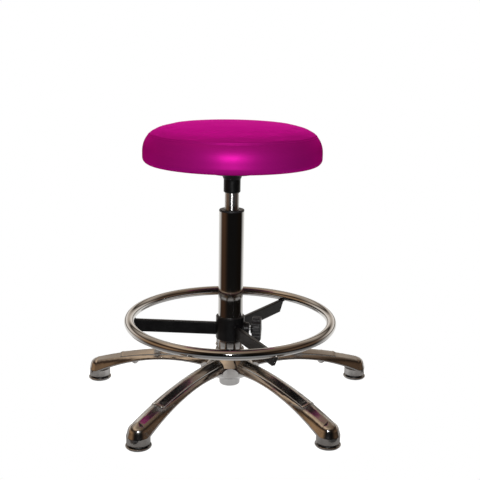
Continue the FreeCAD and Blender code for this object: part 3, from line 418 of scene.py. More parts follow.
@dataclass(frozen=True)
class MouldedPlastic(Finish):
    """Moulded black plastic with a fine spark-eroded texture."""

    colour: Colour = (0.007, 0.007, 0.008)
    rough: Span = (0.36, 0.52)
    grain: float = 0.00008
    grain_cloud: Cloud = Cloud(1700.0, 2.0, 0.6)

    def build(self, graph: NodeGraph) -> Inputs:
        """A fine texture in the surface and handling marks in the gloss.

        Args:
            graph: the material's nodes.

        Returns:
            What goes into the shader.
        """
        point = graph.place()
        grain = graph.noise(point, self.grain_cloud)
        handled = graph.noise(point, Cloud(70.0, 4.0, 0.6))
        return {
            "Base Color": graph.blend(handled, self.colour, toned(self.colour, 2.0, 0.003)),
            "Roughness": graph.spread(handled, self.rough, over=(0.3, 0.7)),
            "Normal": graph.bump(grain, self.grain, 0.6),
        }


@dataclass(frozen=True)
class MachinedMetal(Finish):
    """Turned or ground metal with fine tool marks."""

    colour: Colour = (0.56, 0.56, 0.57)
    stain: float = 0.72
    rough: Span = (0.22, 0.4)
    mark: float = 0.00003

    def build(self, graph: NodeGraph) -> Inputs:
        """Tool marks round the axis, and oil stains in the colour.

        Args:
            graph: the material's nodes.

        Returns:
            What goes into the shader.
        """
        point = graph.place()
        marks = graph.noise(graph.stretch(point, (0.3, 0.3, 3.0)), Cloud(900.0, 3.0, 0.6))
        stains = graph.spread(graph.noise(point, Cloud(90.0, 4.0, 0.6)), over=(0.42, 0.8))
        return {
            "Metallic": 1.0,
            "Base Color": graph.blend(stains, self.colour, toned(self.colour, self.stain)),
            "Roughness": graph.spread(marks, self.rough, over=(0.3, 0.7)),
            "Normal": graph.bump(marks, self.mark, 0.5),
        }


@dataclass(frozen=True)
class Rubber(Finish):
    """Matt black rubber with a dry bloom."""

    colour: Colour = (0.012, 0.012, 0.012)
    pale: float = 2.6
    rough: Span = (0.7, 0.9)
    grain: float = 0.00008

    def build(self, graph: NodeGraph) -> Inputs:
        """Bloom in the colour, a dry surface.

        Args:
            graph: the material's nodes.

        Returns:
            What goes into the shader.
        """
        point = graph.place()
        bloom = graph.noise(point, Cloud(130.0, 5.0, 0.6))
        return {
            "Base Color": graph.blend(bloom, self.colour, toned(self.colour, self.pale)),
            "Roughness": graph.spread(bloom, self.rough),
            "Normal": graph.bump(graph.noise(point, Cloud(1500.0)), self.grain, 0.6),
        }


@dataclass(frozen=True)
class Plywood(Finish):
    """Raw plywood: grain across the face and thin plies along the edge."""

    light: Colour = (0.55, 0.37, 0.2)
    dark: Colour = (0.33, 0.19, 0.09)
    rough: Span = (0.6, 0.8)
    grain: float = 0.0002
    ply_scale: float = 320.0

    def build(self, graph: NodeGraph) -> Inputs:
        """Long grain in the faces, a change of tone from ply to ply.

        Args:
            graph: the material's nodes.

        Returns:
            What goes into the shader.
        """
        point = graph.place()
        grain = graph.noise(graph.stretch(point, (1.0, 14.0, 1.0)), Cloud(26.0, 6.0, 0.62))
        plies = graph.bands(point, self.ply_scale, 0.4, "Z")
        return {
            "Base Color": graph.blend(graph.weigh(grain, 0.7, plies, 0.3), self.light, self.dark),
            "Roughness": graph.spread(grain, self.rough),
            "Normal": graph.bump(grain, self.grain, 0.5),
        }


@dataclass(frozen=True)
class CoatedCloth(Finish):
    """Semi-gloss coated upholstery cloth with a fine pebbled grain."""

    colour: Colour = (0.52, 0.009, 0.275)
    deep: Colour = (0.43, 0.006, 0.225)
    rough: Span = (0.44, 0.54)
    shine: Colour = (1.0, 0.03, 0.6)
    pearl: float = 0.5
    pebbles_per_metre: float = 950.0
    grain: float = 0.00012
    grain_strength: float = 0.3

    def build(self, graph: NodeGraph) -> Inputs:
        """Pebbled grain in the surface, slow changes of colour and gloss.

        Args:
            graph: the material's nodes.

        Returns:
            What goes into the shader.
        """
        point = graph.place()
        pebbles = graph.cells(point, self.pebbles_per_metre)
        crease = graph.noise(point, Cloud(260.0, 4.0, 0.65))
        slow = graph.noise(point, Cloud(14.0, 4.0, 0.6))
        soft = graph.bump(crease, self.grain, self.grain_strength)
        return {
            "Base Color": graph.blend(graph.weigh(slow, 0.6, pebbles, 0.35), self.colour, self.deep),
            "Roughness": graph.spread(slow, self.rough, over=(0.3, 0.7)),
            "Metallic": self.pearl,
            "Specular IOR Level": 0.0,
            "Specular Tint": (*self.shine, 1.0),
            "Normal": graph.bump(pebbles, self.grain, self.grain_strength, soft),
        }


@dataclass(frozen=True)
class LiningCloth(Finish):
    """Thin black lining: a plain weave with loose fibres."""

    colour: Colour = (0.012, 0.012, 0.013)
    pale: Colour = (0.05, 0.05, 0.052)
    rough: float = 0.92
    sheen: float = 0.15
    weave: float = 0.0002
    thread_scale: float = 450.0

    def build(self, graph: NodeGraph) -> Inputs:
        """Two crossing sets of threads and a fuzz of fibres.

        Args:
            graph: the material's nodes.

        Returns:
            What goes into the shader.
        """
        point = graph.place()
        sets = [graph.bands(point, self.thread_scale, 0.8, way) for way in ("X", "Y")]
        weave = graph.sum(sets[0], sets[1], "MULTIPLY")
        fuzz = graph.noise(point, Cloud(420.0, 6.0, 0.7))
        return {
            "Base Color": graph.blend(graph.weigh(weave, 0.6, fuzz, 0.4), self.colour, self.pale),
            "Roughness": self.rough,
            "Sheen Weight": self.sheen,
            "Normal": graph.bump(weave, self.weave, 0.7),
        }


FINISHES: tuple[Finish, ...] = (
    PolishedCasting(Slot.ALUMINIUM),
    Plating(Slot.CHROME),
    MachinedMetal(Slot.STEEL),
    PowderCoat(Slot.BLACK_STEEL),
    MouldedPlastic(Slot.BLACK_PLASTIC),
    MachinedMetal(Slot.BRASS, colour=(0.58, 0.40, 0.15), rough=(0.2, 0.36)),
    Rubber(Slot.RUBBER),
    Plywood(Slot.PLYWOOD),
    CoatedCloth(Slot.VINYL),
    LiningCloth(Slot.CLOTH),
)
SPECIAL_FINISHES: dict[str, Finish] = {"pressure_tube": GroundPlating(Slot.CHROME)}


class Wardrobe:
    """Makes each finish once and puts it on pieces."""

    def __init__(self, finishes: Iterable[Finish]) -> None:
        """Makes the materials of the finishes."""
        self.materials = {finish.slot: finish.material() for finish in finishes}

    def dress(self, piece: Piece, slot: Slot) -> None:
        """Gives a piece one finish all over."""
        piece.data.materials.clear()
        piece.data.materials.append(self.materials[slot])

    def dress_frame(self) -> int:
        """Gives every CAD node the finish that its record names.

        Returns:
            How many nodes were dressed.
        """
        count = 0
        for subpart in frame["record"]["subparts"]:
            slot = Slot(subpart["material_slot"])
            if slot in self.materials:
                self.dress(frame["nodes"][subpart["node"]], slot)
                count += 1
        for node, finish in SPECIAL_FINISHES.items():
            piece = frame["nodes"][node]
            piece.data.materials.clear()
            piece.data.materials.append(finish.material())
        return count


class Bench:
    """The modelling operators that the pieces share."""

    @staticmethod
    def clear() -> None:
        """Leaves edit mode and deselects everything."""
        if bpy.context.object is not None and bpy.context.object.mode != "OBJECT":
            bpy.ops.object.mode_set(mode="OBJECT")
        bpy.ops.object.select_all(action="DESELECT")

    @staticmethod
    def take(piece: Piece) -> None:
        """Makes one piece the only selected and active one.

        Args:
            piece: what is taken.
        """
        Bench.clear()
        piece.select_set(True)
        bpy.context.view_layer.objects.active = piece

    @staticmethod
    def open(piece: Piece) -> None:
        """Takes a piece into edit mode with all of it selected.

        Args:
            piece: what is opened.
        """
        Bench.take(piece)
        bpy.ops.object.mode_set(mode="EDIT")
        bpy.ops.mesh.select_all(action="SELECT")

    @staticmethod
    def close() -> None:
        """Goes back to object mode."""
        bpy.ops.object.mode_set(mode="OBJECT")

    @staticmethod
    def chain(name: str, points: Sequence[Vector]) -> Piece:
        """A new object whose mesh is a chain of edges.

        Args:
            name: the object's name.
            points: the chain's corners.

        Returns:
            The new object, selected and active.
        """
        mesh = bpy.data.meshes.new(name)
        mesh.from_pydata([tuple(p) for p in points], [(i, i + 1) for i in range(len(points) - 1)], [])
        piece = bpy.data.objects.new(name, mesh)
        bpy.context.scene.collection.objects.link(piece)
        Bench.take(piece)
        return piece

    @staticmethod
    def spin(piece: Piece, steps: int) -> None:
        """Turns a chain once round the upright axis into a skin with outward normals.

        Args:
            piece: the chain's object.
            steps: facets in the turn.
        """
        Bench.open(piece)
        bpy.ops.mesh.spin(steps=steps, angle=math.tau, center=(0, 0, 0), axis=(0, 0, 1))
        Bench.weld()
        Bench.close()

    @staticmethod
    def weld(distance: float = 0.00002) -> None:
        """In edit mode, merges doubled points and turns all faces outwards.

        Args:
            distance: points nearer than this are merged.
        """
        bpy.ops.mesh.select_all(action="SELECT")
        bpy.ops.mesh.remove_doubles(threshold=distance)
        bpy.ops.mesh.normals_make_consistent(inside=False)

    @staticmethod
    def apply(piece: Piece, kind: str, **settings: object) -> None:
        """Adds a modifier, sets it and applies it.

        Args:
            piece: what is modified.
            kind: the modifier's type.
            settings: the modifier's own properties.
        """
        Bench.take(piece)
        modifier = piece.modifiers.new(kind.lower(), kind)
        for name, value in settings.items():
            setattr(modifier, name, value)
        bpy.ops.object.modifier_apply(modifier=modifier.name)

    @staticmethod
    def subdivide(piece: Piece, levels: int = 1) -> None:
        """Rounds a piece by subdivision."""
        Bench.apply(piece, "SUBSURF", levels=levels, render_levels=levels)

    @staticmethod
    def smooth(piece: Piece, degrees: float = 40.0) -> None:
        """Smooth shading, with sharper edges left sharp."""
        Bench.take(piece)
        bpy.ops.object.shade_smooth_by_angle(angle=math.radians(degrees))

    @staticmethod
    def join(name: str, pieces: Sequence[Piece]) -> Piece:
        """Joins pieces into one.

        Args:
            name: the joined object's name.
            pieces: what is joined; the first one is kept.

        Returns:
            The joined object.
        """
        Bench.take(pieces[0])
        for piece in pieces[1:]:
            piece.select_set(True)
        bpy.ops.object.join()
        pieces[0].name = name
        pieces[0].data.name = name
        return pieces[0]

    @staticmethod
    def settle(piece: Piece) -> None:
        """Puts a piece's place into its mesh, with its object at the origin."""
        Bench.take(piece)
        bpy.ops.object.transform_apply(location=True, rotation=True, scale=True)

    @staticmethod
    def copy_round(piece: Piece, angle: float) -> Piece:
        """A copy of a settled piece, turned round the upright axis, with its own mesh.

        Args:
            piece: what is copied.
            angle: how far the copy is turned.

        Returns:
            The copy.
        """
        twin = piece.copy()
        twin.data = piece.data.copy()
        bpy.context.scene.collection.objects.link(twin)
        twin.data.transform(Matrix.Rotation(angle, 4, "Z"))
        return twin


@dataclass(frozen=True)
class Tension:
    """Cloth under tension over a filling, found by simulation."""

    pressure: float
    limit: float
    frames: int = 20
    quality: int = 6
    mass: float = 0.35
    stretch: float = 30.0
    shear: float = 15.0
    bending: float = 3.0

    def pull(self, piece: Piece, held: Callable[[Vector], bool]) -> None:
        """Swells a piece against its held points and keeps the result, up to the limit.

        Args:
            piece: the piece that swells.
            held: says which points the sewing or the board holds.
        """
        before = [vertex.co.copy() for vertex in piece.data.vertices]
        group = piece.vertex_groups.new(name="held")
        group.add([v.index for v in piece.data.vertices if held(v.co)], 1.0, "REPLACE")
        cloth = piece.modifiers.new("tension", "CLOTH")
        cloth.settings.quality = self.quality
        cloth.settings.mass = self.mass
        cloth.settings.tension_stiffness = self.stretch
        cloth.settings.compression_stiffness = self.stretch
        cloth.settings.shear_stiffness = self.shear
        cloth.settings.bending_stiffness = self.bending
        cloth.settings.use_pressure = True
        cloth.settings.uniform_pressure_force = self.pressure
        cloth.settings.vertex_group_mass = "held"
        cloth.settings.effector_weights.gravity = 0.0
        for number in range(1, self.frames + 1):
            bpy.context.scene.frame_set(number)
        Bench.take(piece)
        bpy.ops.object.modifier_apply(modifier=cloth.name)
        bpy.context.scene.frame_set(1)
        piece.vertex_groups.clear()
        for vertex, start in zip(piece.data.vertices, before):
            move = vertex.co - start
            if move.length > self.limit:
                vertex.co = start + move.normalized() * self.limit


@dataclass
class SeatCushion:
    """The padded seat: a crowned top panel sewn to a side band, over foam on a board."""

    radius: float = 0.1756
    bottom: float = 0.484
    crown_top: float = 0.5627
    crown_radius: float = 1.15
    crown_rings: int = 20
    upper_round: float = 0.048
    upper_rings: int = 14
    upper_crowding: float = 1.6
    lower_round: float = 0.012
    lower_rings: int = 8
    side_rings: int = 5
    seam_height: float = 0.540
    groove: float = 0.05
    groove_depth: float = 0.0009
    groove_parts: tuple[float, ...] = (0.3, 0.55, 0.78, 1.0)
    groove_share: float = 0.2
    ridge: float = 0.062
    ridge_height: float = 0.0006
    ridge_parts: tuple[float, ...] = (0.0, 0.12, 0.25, 0.4, 0.55, 0.7, 0.85)
    ridge_start: float = 0.12
    ridge_full: float = 0.8
    band_rings: int = 12
    band_crowding: float = 1.5
    cover: float = 0.0012
    wrap_middle: float = 0.157
    wrap_radius: float = 0.150
    board_radius: float = 0.160
    board_top: float = 0.4973
    foam_inset: float = 0.0028
    foam_rings: int = 6
    foam_dip: float = 0.02
    foam_bulge: float = 0.004
    foam_flat: float = 0.8
    steps: int = 144
    pucker_depth: float = 0.0005
    pucker_reach: float = 0.012
    pucker_from: float = 0.14
    pucker_in: float = 0.6
    pucker_down: float = 0.4
    pucker_drift: float = 40.0
    puckers: float = 13.0
    pleat_start: float = 0.165
    pleat_depth: float = 0.0008
    pleat_even: float = 0.6
    pleat_drift: float = 5.0
    pleats: float = 52.0
    turned_in: float = 1.5
    join_reach: float = 0.008
    join_depth: float = 0.0012
    top_room: float = 0.002
    band_room: float = 0.004
    top_tension: Tension = Tension(pressure=3.0, limit=0.0012)
    band_tension: Tension = Tension(pressure=2.0, limit=0.0008)
    crease: float = 60.0

    def round_centre(self) -> Span:
        """Radius and height of the middle of the upper edge's round.

        Returns:
            The two sizes.
        """
        out = self.radius - self.upper_round
        middle = self.crown_top - self.crown_radius
        return out, middle + math.sqrt((self.crown_radius - self.upper_round) ** 2 - out**2)

    def on_round(self, angle: float, inset: float = 0.0) -> Vector:
        """A point of the upper edge's round, by its angle above level.

        Args:
            angle: the angle above level.
            inset: how far below the surface.

        Returns:
            The point, in the section.
        """
        out, height = self.round_centre()
        reach = self.upper_round - inset
        return section(out + reach * math.cos(angle), height + reach * math.sin(angle))

    def seam_angle(self) -> float:
        """Angle of the seam on the upper edge's round."""
        return math.asin((self.seam_height - self.round_centre()[1]) / self.upper_round)

    def top_profile(self) -> list[Vector]:
        """The top panel's section from the middle to the seam, then the foam below it to the middle.

        Returns:
            The section's corners.
        """
        out, height = self.round_centre()
        middle = self.crown_top - self.crown_radius
        tangent = math.atan2(height - middle, out)
        seam = self.seam_angle()
        points = []
        for number in range(self.crown_rings):
            across = (QUARTER - tangent) * number / self.crown_rings
            rise = self.crown_radius * math.cos(across)
            points.append(section(self.crown_radius * math.sin(across), middle + rise))
        for number in range(self.upper_rings + 1):
            part = 1.0 - (1.0 - number / self.upper_rings) ** self.upper_crowding
            points.append(self.on_round(tangent + (seam + self.groove - tangent) * part))
        for part in self.groove_parts:
            dip = self.groove_depth * (1.0 - math.cos(part * QUARTER))
            points.append(self.on_round(seam + self.groove * (1.0 - part), dip))
        for number in range(1, self.foam_rings + 1):
            angle = seam * (1.0 - number / self.foam_rings) - self.foam_dip
            points.append(self.on_round(angle, self.foam_inset))
        points.append(section(self.board_radius + self.foam_bulge, self.board_top + self.foam_bulge))
        points.append(section(self.board_radius * self.foam_flat, self.board_top))
        points.append(section(0.0, self.board_top))
        return points

    def band_profile(self) -> list[Vector]:
        """The band's section, from the seam round to the board's underside.

        Returns:
            The section's corners.
        """
        seam = self.seam_angle()
        points = []
        for part in self.ridge_parts:
            swing = math.sin(math.pi * (self.ridge_start + (1.0 - self.ridge_start) * part))
            rise = swing**self.ridge_full * self.ridge_height
            sink = self.groove_depth * max(0.0, 1.0 - part / self.groove_share)
            points.append(self.on_round(seam - self.ridge * part, sink - rise))
        for number in range(self.band_rings + 1):
            part = (number / self.band_rings) ** self.band_crowding
            points.append(self.on_round((seam - self.ridge) * (1.0 - part)))
        low = self.bottom + self.lower_round
        high = self.round_centre()[1]
        for number in range(1, self.side_rings):
            points.append(section(self.radius, high + (low - high) * number / self.side_rings))
        for number in range(self.lower_rings + 1):
            angle = QUARTER * number / self.lower_rings
            out = self.radius - self.lower_round * (1.0 - math.cos(angle))
            points.append(section(out, low - self.lower_round * math.sin(angle)))
        points.append(section(self.wrap_middle, self.bottom))
        points.append(section(self.wrap_radius, self.bottom))
        return points

    def pucker(self, piece: Piece) -> None:
        """Draws the cloth in a little along the seam, unevenly, as sewing does.

        Args:
            piece: the top panel or the band.
        """
        for vertex in piece.data.vertices:
            outward = Vector((vertex.co.x, vertex.co.y, 0.0))
            away = abs(vertex.co.z - self.seam_height)
            if away > self.pucker_reach or outward.length < self.pucker_from:
                continue
            angle = math.atan2(outward.y, outward.x)
            ring = Vector((math.cos(angle), math.sin(angle), 0.0)) * self.puckers
            pull = 0.5 + 0.5 * noise.noise(ring + Vector((0.0, 0.0, vertex.co.z * self.pucker_drift)))
            fade = (1.0 - away / self.pucker_reach) ** 2
            way = outward.normalized() * self.pucker_in + Vector((0.0, 0.0, self.pucker_down))
            vertex.co -= way * self.pucker_depth * pull * fade

    def gather(self, piece: Piece) -> None:
        """Pleats the band's turned-in edge and draws in its one upright join, at the back.

        Args:
            piece: the band.
        """
        for vertex in piece.data.vertices:
            out = math.hypot(vertex.co.x, vertex.co.y)
            angle = math.atan2(vertex.co.y, vertex.co.x)
            if out < self.pleat_start and vertex.co.z < self.bottom + self.cover * self.turned_in:
                fade = (self.pleat_start - out) / (self.pleat_start - self.wrap_radius)
                drift = noise.noise(Vector((angle * self.pleat_drift, 0.0, 0.0)))
                uneven = self.pleat_even + (1.0 - self.pleat_even) * drift
                vertex.co.z -= self.pleat_depth * fade * uneven * abs(math.sin(angle * self.pleats / 2.0))
            aside = abs(angle - QUARTER) * out
            if aside < self.join_reach and vertex.co.z > self.bottom + self.cover:
                vertex.co.y -= self.join_depth * (1.0 - aside / self.join_reach) ** 2

    def build_top(self) -> Piece:
        """The top panel with its filling, swollen against the seam.

        Returns:
            A closed crowned piece.
        """
        top = Bench.chain("seat_top", self.top_profile())
        Bench.spin(top, self.steps)
        edge = self.seam_height + self.top_room
        self.top_tension.pull(top, lambda point: point.z < edge)
        Bench.subdivide(top)
        self.pucker(top)
        Bench.smooth(top, self.crease)
        return top

    def build_band(self) -> Piece:
        """The side band, a thin closed skin turned in under the board.

        Returns:
            A closed ring of cloth with its thickness.
        """
        band = Bench.chain("seat_band", self.band_profile())
        Bench.spin(band, self.steps)
        low = self.bottom + self.lower_round
        high = self.seam_height - self.band_room
        self.band_tension.pull(band, lambda point: point.z < low or point.z > high)
        Bench.apply(band, "SOLIDIFY", thickness=self.cover, offset=-1.0, use_even_offset=True)
        Bench.subdivide(band)
        self.pucker(band)
        self.gather(band)
        Bench.smooth(band, self.crease)
        return band

    def build(self, wardrobe: Wardrobe) -> None:
        """Makes, dresses and places the padded seat.

        Args:
            wardrobe: the finishes.
        """
        top = self.build_top()
        band = self.build_band()
        for piece in (top, band):
            wardrobe.dress(piece, Slot.VINYL)
            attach(piece, "seat")
        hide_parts("cover_top", "seat_foam")
        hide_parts("cover_band")
        LOG.info("seat: top panel %d faces, band %d faces", len(top.data.polygons), len(band.data.polygons))


@dataclass
class LiningUnderSeat:
    """The thin lining stapled under the board."""

    radius: float = 0.149
    height: float = 0.48505
    thick: float = 0.0005
    rings: tuple[float, ...] = (0.0, 0.03, 0.06, 0.085, 0.1, 0.112, 0.122, 0.13, 0.136, 0.14, 0.1435, 0.147)
    steps: int = 96
    draw: float = 0.00012
    draw_from: float = 0.1
    staples: int = 24
    staple_radius: float = 0.1425
    staple_wide: float = 0.010
    staple_wire: float = 0.0006
    staple_flat: float = 1.7
    staple_bevel: float = 0.3
    staple_bend: float = 0.6
    staple_bend_from: float = 0.72

    def build_cloth(self) -> Piece:
        """A disc of cloth, drawn lightly between the staples.

        Returns:
            The cloth.
        """
        low = self.height - self.thick
        cloth = Bench.chain("lining", [section(out, low) for out in (*self.rings, self.radius)])
        Bench.spin(cloth, self.steps)
        for vertex in cloth.data.vertices:
            out = Vector((vertex.co.x, vertex.co.y)).length
            if out > self.draw_from:
                angle = math.atan2(vertex.co.y, vertex.co.x)
                wave = math.cos(angle * self.staples) * self.draw
                vertex.co.z += wave * (out - self.draw_from) / (self.radius - self.draw_from)
        Bench.apply(cloth, "SOLIDIFY", thickness=self.thick, offset=0.0)
        Bench.smooth(cloth)
        return cloth

    def build_staple(self) -> Piece:
        """One staple: a flat crown whose two ends bend into the board.

        Returns:
            The staple at the lining's edge on the +X side.
        """
        Bench.clear()
        low = self.height - self.thick - self.staple_wire * 0.5
        bpy.ops.mesh.primitive_cube_add(size=1.0, location=(self.staple_radius, 0.0, low))
        staple = bpy.context.object
        staple.scale = (self.staple_wire * self.staple_flat, self.staple_wide, self.staple_wire)
        Bench.settle(staple)
        Bench.open(staple)
        bpy.ops.mesh.bevel(offset=self.staple_wire * self.staple_bevel, segments=2, affect="EDGES")
        Bench.close()
        half = self.staple_wide / 2.0
        start = half * self.staple_bend_from
        for vertex in staple.data.vertices:
            end = max(0.0, abs(vertex.co.y) - start) / (half - start)
            vertex.co.z += self.staple_wire * self.staple_bend * end**2
        staple.name = "staple"
        return staple

    def build(self, wardrobe: Wardrobe) -> None:
        """Makes, dresses and places the lining and its staples.

        Args:
            wardrobe: the finishes.
        """
        cloth = self.build_cloth()
        wardrobe.dress(cloth, Slot.CLOTH)
        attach(cloth, "seat")
        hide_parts("dust_cover")
        staple = self.build_staple()
        angles = [math.tau * (number + 0.5) / self.staples for number in range(self.staples)]
        row = [Bench.copy_round(staple, angle) for angle in angles[1:]]
        staple.data.transform(Matrix.Rotation(angles[0], 4, "Z"))
        staples = Bench.join("lining_staples", [staple, *row])
        Bench.smooth(staples)
        wardrobe.dress(staples, Slot.STEEL)
        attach(staples, "seat")
        LOG.info("lining: %d staples", self.staples)


@dataclass
class TreadStrips:
    """The strip along each leg's crest: ridged, thinning towards the foot, with a rolled nose."""

    start: float = 0.045
    end: float = 0.242
    half: float = 0.014
    lift: float = 0.00015
    thick: float = 0.0030
    edge: float = 0.0020
    thin_from: float = 0.10
    tip: float = 0.3
    bow: float = 0.004
    roll_back: float = 0.0035
    roll_wide: float = 0.0016
    roll_high: float = 0.0006
    ridge_round: float = 0.002
    foot_radius: float = 0.2922
    crest_start: float = 0.040
    crest_top: float = 0.086
    crest_fall: float = 0.0376
    crest_power: float = 2.2
    crest_round: float = 0.005
    roof_drop: float = 0.008
    leg_root: float = 0.034
    eave_root: float = 0.016
    eave_foot: float = 0.0172
    long_parts: int = 56
    cross_parts: int = 14
    crowding: float = 1.7
    bevel: float = 0.0004
    bevel_angle: float = math.radians(50.0)
    crease: float = 35.0
    legs: int = 5

    def roof(self, radius: float) -> Span:
        """Height of the leg's ridge at a radius, and the fall of its roof faces to each side.

        Args:
            radius: distance from the stool's axis.

        Returns:
            The height, and the fall for each metre across.
        """
        share = max(0.0, radius - self.crest_start) / (self.foot_radius - self.crest_start)
        crest = self.crest_top - self.crest_fall * share**self.crest_power
        out = (radius - self.leg_root) / (self.foot_radius - self.leg_root)
        eave = self.eave_root + (self.eave_foot - self.eave_root) * out
        tilt = math.atan2(self.roof_drop, eave)
        ridge = crest + self.crest_round * (1.0 / math.cos(tilt) - 1.0) + self.lift
        return ridge, (ridge - crest + self.roof_drop) / eave

    def point(self, along: float, side: float, upper: bool) -> Vector:
        """A point of the strip.

        Args:
            along: from 0 at the hub to 1 at the nose.
            side: from -1 to 1 across the strip.
            upper: on the tread, not on the leg.

        Returns:
            The point, for the leg along +X.
        """
        nose = self.end - self.bow * side * side
        radius = self.start + (nose - self.start) * along
        ridge, fall = self.roof(radius)
        across = side * self.half
        height = ridge - fall * abs(across)
        if upper:
            soft = math.hypot(across, self.ridge_round) - self.ridge_round
            late = min(1.0, max(0.0, (radius - self.thin_from) / (self.end - self.thin_from)))
            share = 1.0 - (1.0 - self.tip) * late * late * (3.0 - 2.0 * late)
            body = self.thick - (self.thick - self.edge) * abs(side)
            roll = (nose - radius - self.roll_back) / self.roll_wide
            height = ridge - fall * soft + body * share + self.roll_high * math.exp(-roll * roll)
        return Vector((radius, across, height))

    def build_strip(self) -> Piece:
        """One strip along +X.

        Returns:
            A closed strip lying on the leg's roof.
        """
        Bench.clear()
        bpy.ops.mesh.primitive_grid_add(
            x_subdivisions=self.long_parts, y_subdivisions=self.cross_parts, size=1.0
        )
        strip = bpy.context.object
        strip.name = "strip"
        Bench.open(strip)
        bpy.ops.mesh.extrude_region_move(TRANSFORM_OT_translate={"value": (0.0, 0.0, 1.0)})
        Bench.close()
        for vertex in strip.data.vertices:
            along = 1.0 - (0.5 - vertex.co.x) ** self.crowding
            vertex.co = self.point(along, vertex.co.y * 2.0, vertex.co.z > 0.5)
        Bench.open(strip)
        Bench.weld()
        Bench.close()
        rounded = {"width": self.bevel, "segments": 2, "limit_method": "ANGLE"}
        Bench.apply(strip, "BEVEL", angle_limit=self.bevel_angle, **rounded)
        Bench.smooth(strip, self.crease)
        return strip

    def build(self, wardrobe: Wardrobe) -> None:
        """Makes, dresses and places a strip on every leg.

        Args:
            wardrobe: the finishes.
        """
        first = self.build_strip()
        for number in range(1, self.legs + 1):
            strip = Bench.copy_round(first, QUARTER + math.tau * (number - 1) / self.legs)
            strip.name = f"leg_strip_{number}"
            wardrobe.dress(strip, Slot.ALUMINIUM)
            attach(strip, "base")
            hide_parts(f"tread_strip_{number}")
        bpy.data.objects.remove(first)
        LOG.info("legs: %d strips", self.legs)


@dataclass
class RingWelds:
    """The weld beads that hold the foot ring's bars and the screw boss."""

    yaw: float = math.radians(-6.8)
    bars: int = 3
    bar_half: float = 0.0045
    bar_low: float = 0.130
    bar_high: float = 0.156
    bar_inset: float = 0.001
    sleeve: float = 0.0292
    ring_radius: float = 0.205
    ring_height: float = 0.1633
    ring_parts: int = 5
    tube: float = 0.010
    boss: float = 0.0125
    boss_height: float = 0.1445
    boss_parts: int = 40
    bead: float = 0.0019
    stand: float = 0.00038
    ripple: float = 0.0013
    ripple_depth: float = 0.16
    end_ripples: float = 3.0
    end_taper: float = 0.45
    crease: float = 50.0

    def bead_along(self, name: str, points: Sequence[Vector], closed: bool = False) -> Piece:
        """A rippled bead along a path.

        Args:
            name: the bead's name.
            points: the path's corners.
            closed: whether the path comes back to its start.

        Returns:
            The bead as a mesh.
        """
        corners = list(points) + ([points[0]] if closed else [])
        dense = []
        for first, second in zip(corners, corners[1:]):
            count = max(1, round((second - first).length / (self.ripple / 2.0)))
            dense += [first.lerp(second, step / count) for step in range(count)]
        if not closed:
            dense.append(corners[-1])
        curve = bpy.data.curves.new(name, "CURVE")
        curve.dimensions = "3D"
        curve.bevel_depth = self.bead
        curve.bevel_resolution = 2
        curve.use_fill_caps = True
        line = curve.splines.new("POLY")
        last = len(dense) - 1
        line.points.add(last)
        line.use_cyclic_u = closed
        for number, (place, point) in enumerate(zip(dense, line.points)):
            point.co = (*place, 1.0)
            end = 0.0 if closed else max(0.0, 1.0 - min(number, last - number) / self.end_ripples)
            point.radius = (1.0 - self.ripple_depth * (number % 2)) * (1.0 - self.end_taper * end)
        bead = bpy.data.objects.new(name, curve)
        bpy.context.scene.collection.objects.link(bead)
        Bench.take(bead)
        bpy.ops.object.convert(target="MESH")
        return bpy.context.object

    def bar_beads(self) -> list[Piece]:
        """The beads of one bar along +X: down each side at the sleeve, and under the ring.

        Returns:
            Three beads.
        """
        side = self.bar_half + self.stand
        foot = math.sqrt(self.sleeve**2 - self.bar_half**2) + self.stand
        ends = (self.bar_low + self.bar_inset, self.bar_high - self.bar_inset)
        beads = []
        for name, way in (("left", 1.0), ("right", -1.0)):
            path = [Vector((foot, way * side, height)) for height in ends]
            beads.append(self.bead_along(f"bead_{name}", path))
        reach = self.tube + self.stand
        swing = math.acos((self.ring_height - self.bar_high) / self.tube)
        under = []
        for step in range(self.ring_parts + 1):
            angle = -QUARTER - swing * step / self.ring_parts
            out = self.ring_radius + reach * math.cos(angle)
            under.append(Vector((out, side, self.ring_height + reach * math.sin(angle))))
        mirrored = [Vector((point.x, -point.y, point.z)) for point in reversed(under)]
        beads.append(self.bead_along("bead_ring", under + mirrored))
        return beads

    def boss_bead(self) -> Piece:
        """The bead round the screw boss where it stands on the sleeve.

        Returns:
            The bead, for the boss along +X.
        """
        reach = self.boss + self.stand
        points = []
        for step in range(self.boss_parts):
            angle = math.tau * step / self.boss_parts
            across = reach * math.cos(angle)
            out = math.sqrt(self.sleeve**2 - across**2) + self.stand
            points.append(Vector((out, across, self.boss_height + reach * math.sin(angle))))
        return self.bead_along("bead_boss", points, closed=True)

    def build(self, wardrobe: Wardrobe) -> None:
        """Makes, dresses and places the beads.

        Args:
            wardrobe: the finishes.
        """
        bar = Bench.join("bar_beads", self.bar_beads())
        angles = [self.yaw + math.pi + math.tau * number / self.bars for number in range(self.bars)]
        round_all = [Bench.copy_round(bar, angle) for angle in angles]
        bpy.data.objects.remove(bar)
        boss = self.boss_bead()
        boss.data.transform(Matrix.Rotation(self.yaw, 4, "Z"))
        welds = Bench.join("ring_welds", [boss, *round_all])
        Bench.smooth(welds, self.crease)
        wardrobe.dress(welds, Slot.BLACK_STEEL)
        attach(welds, "ring")
        LOG.info("foot ring: %d faces of weld bead", len(welds.data.polygons))


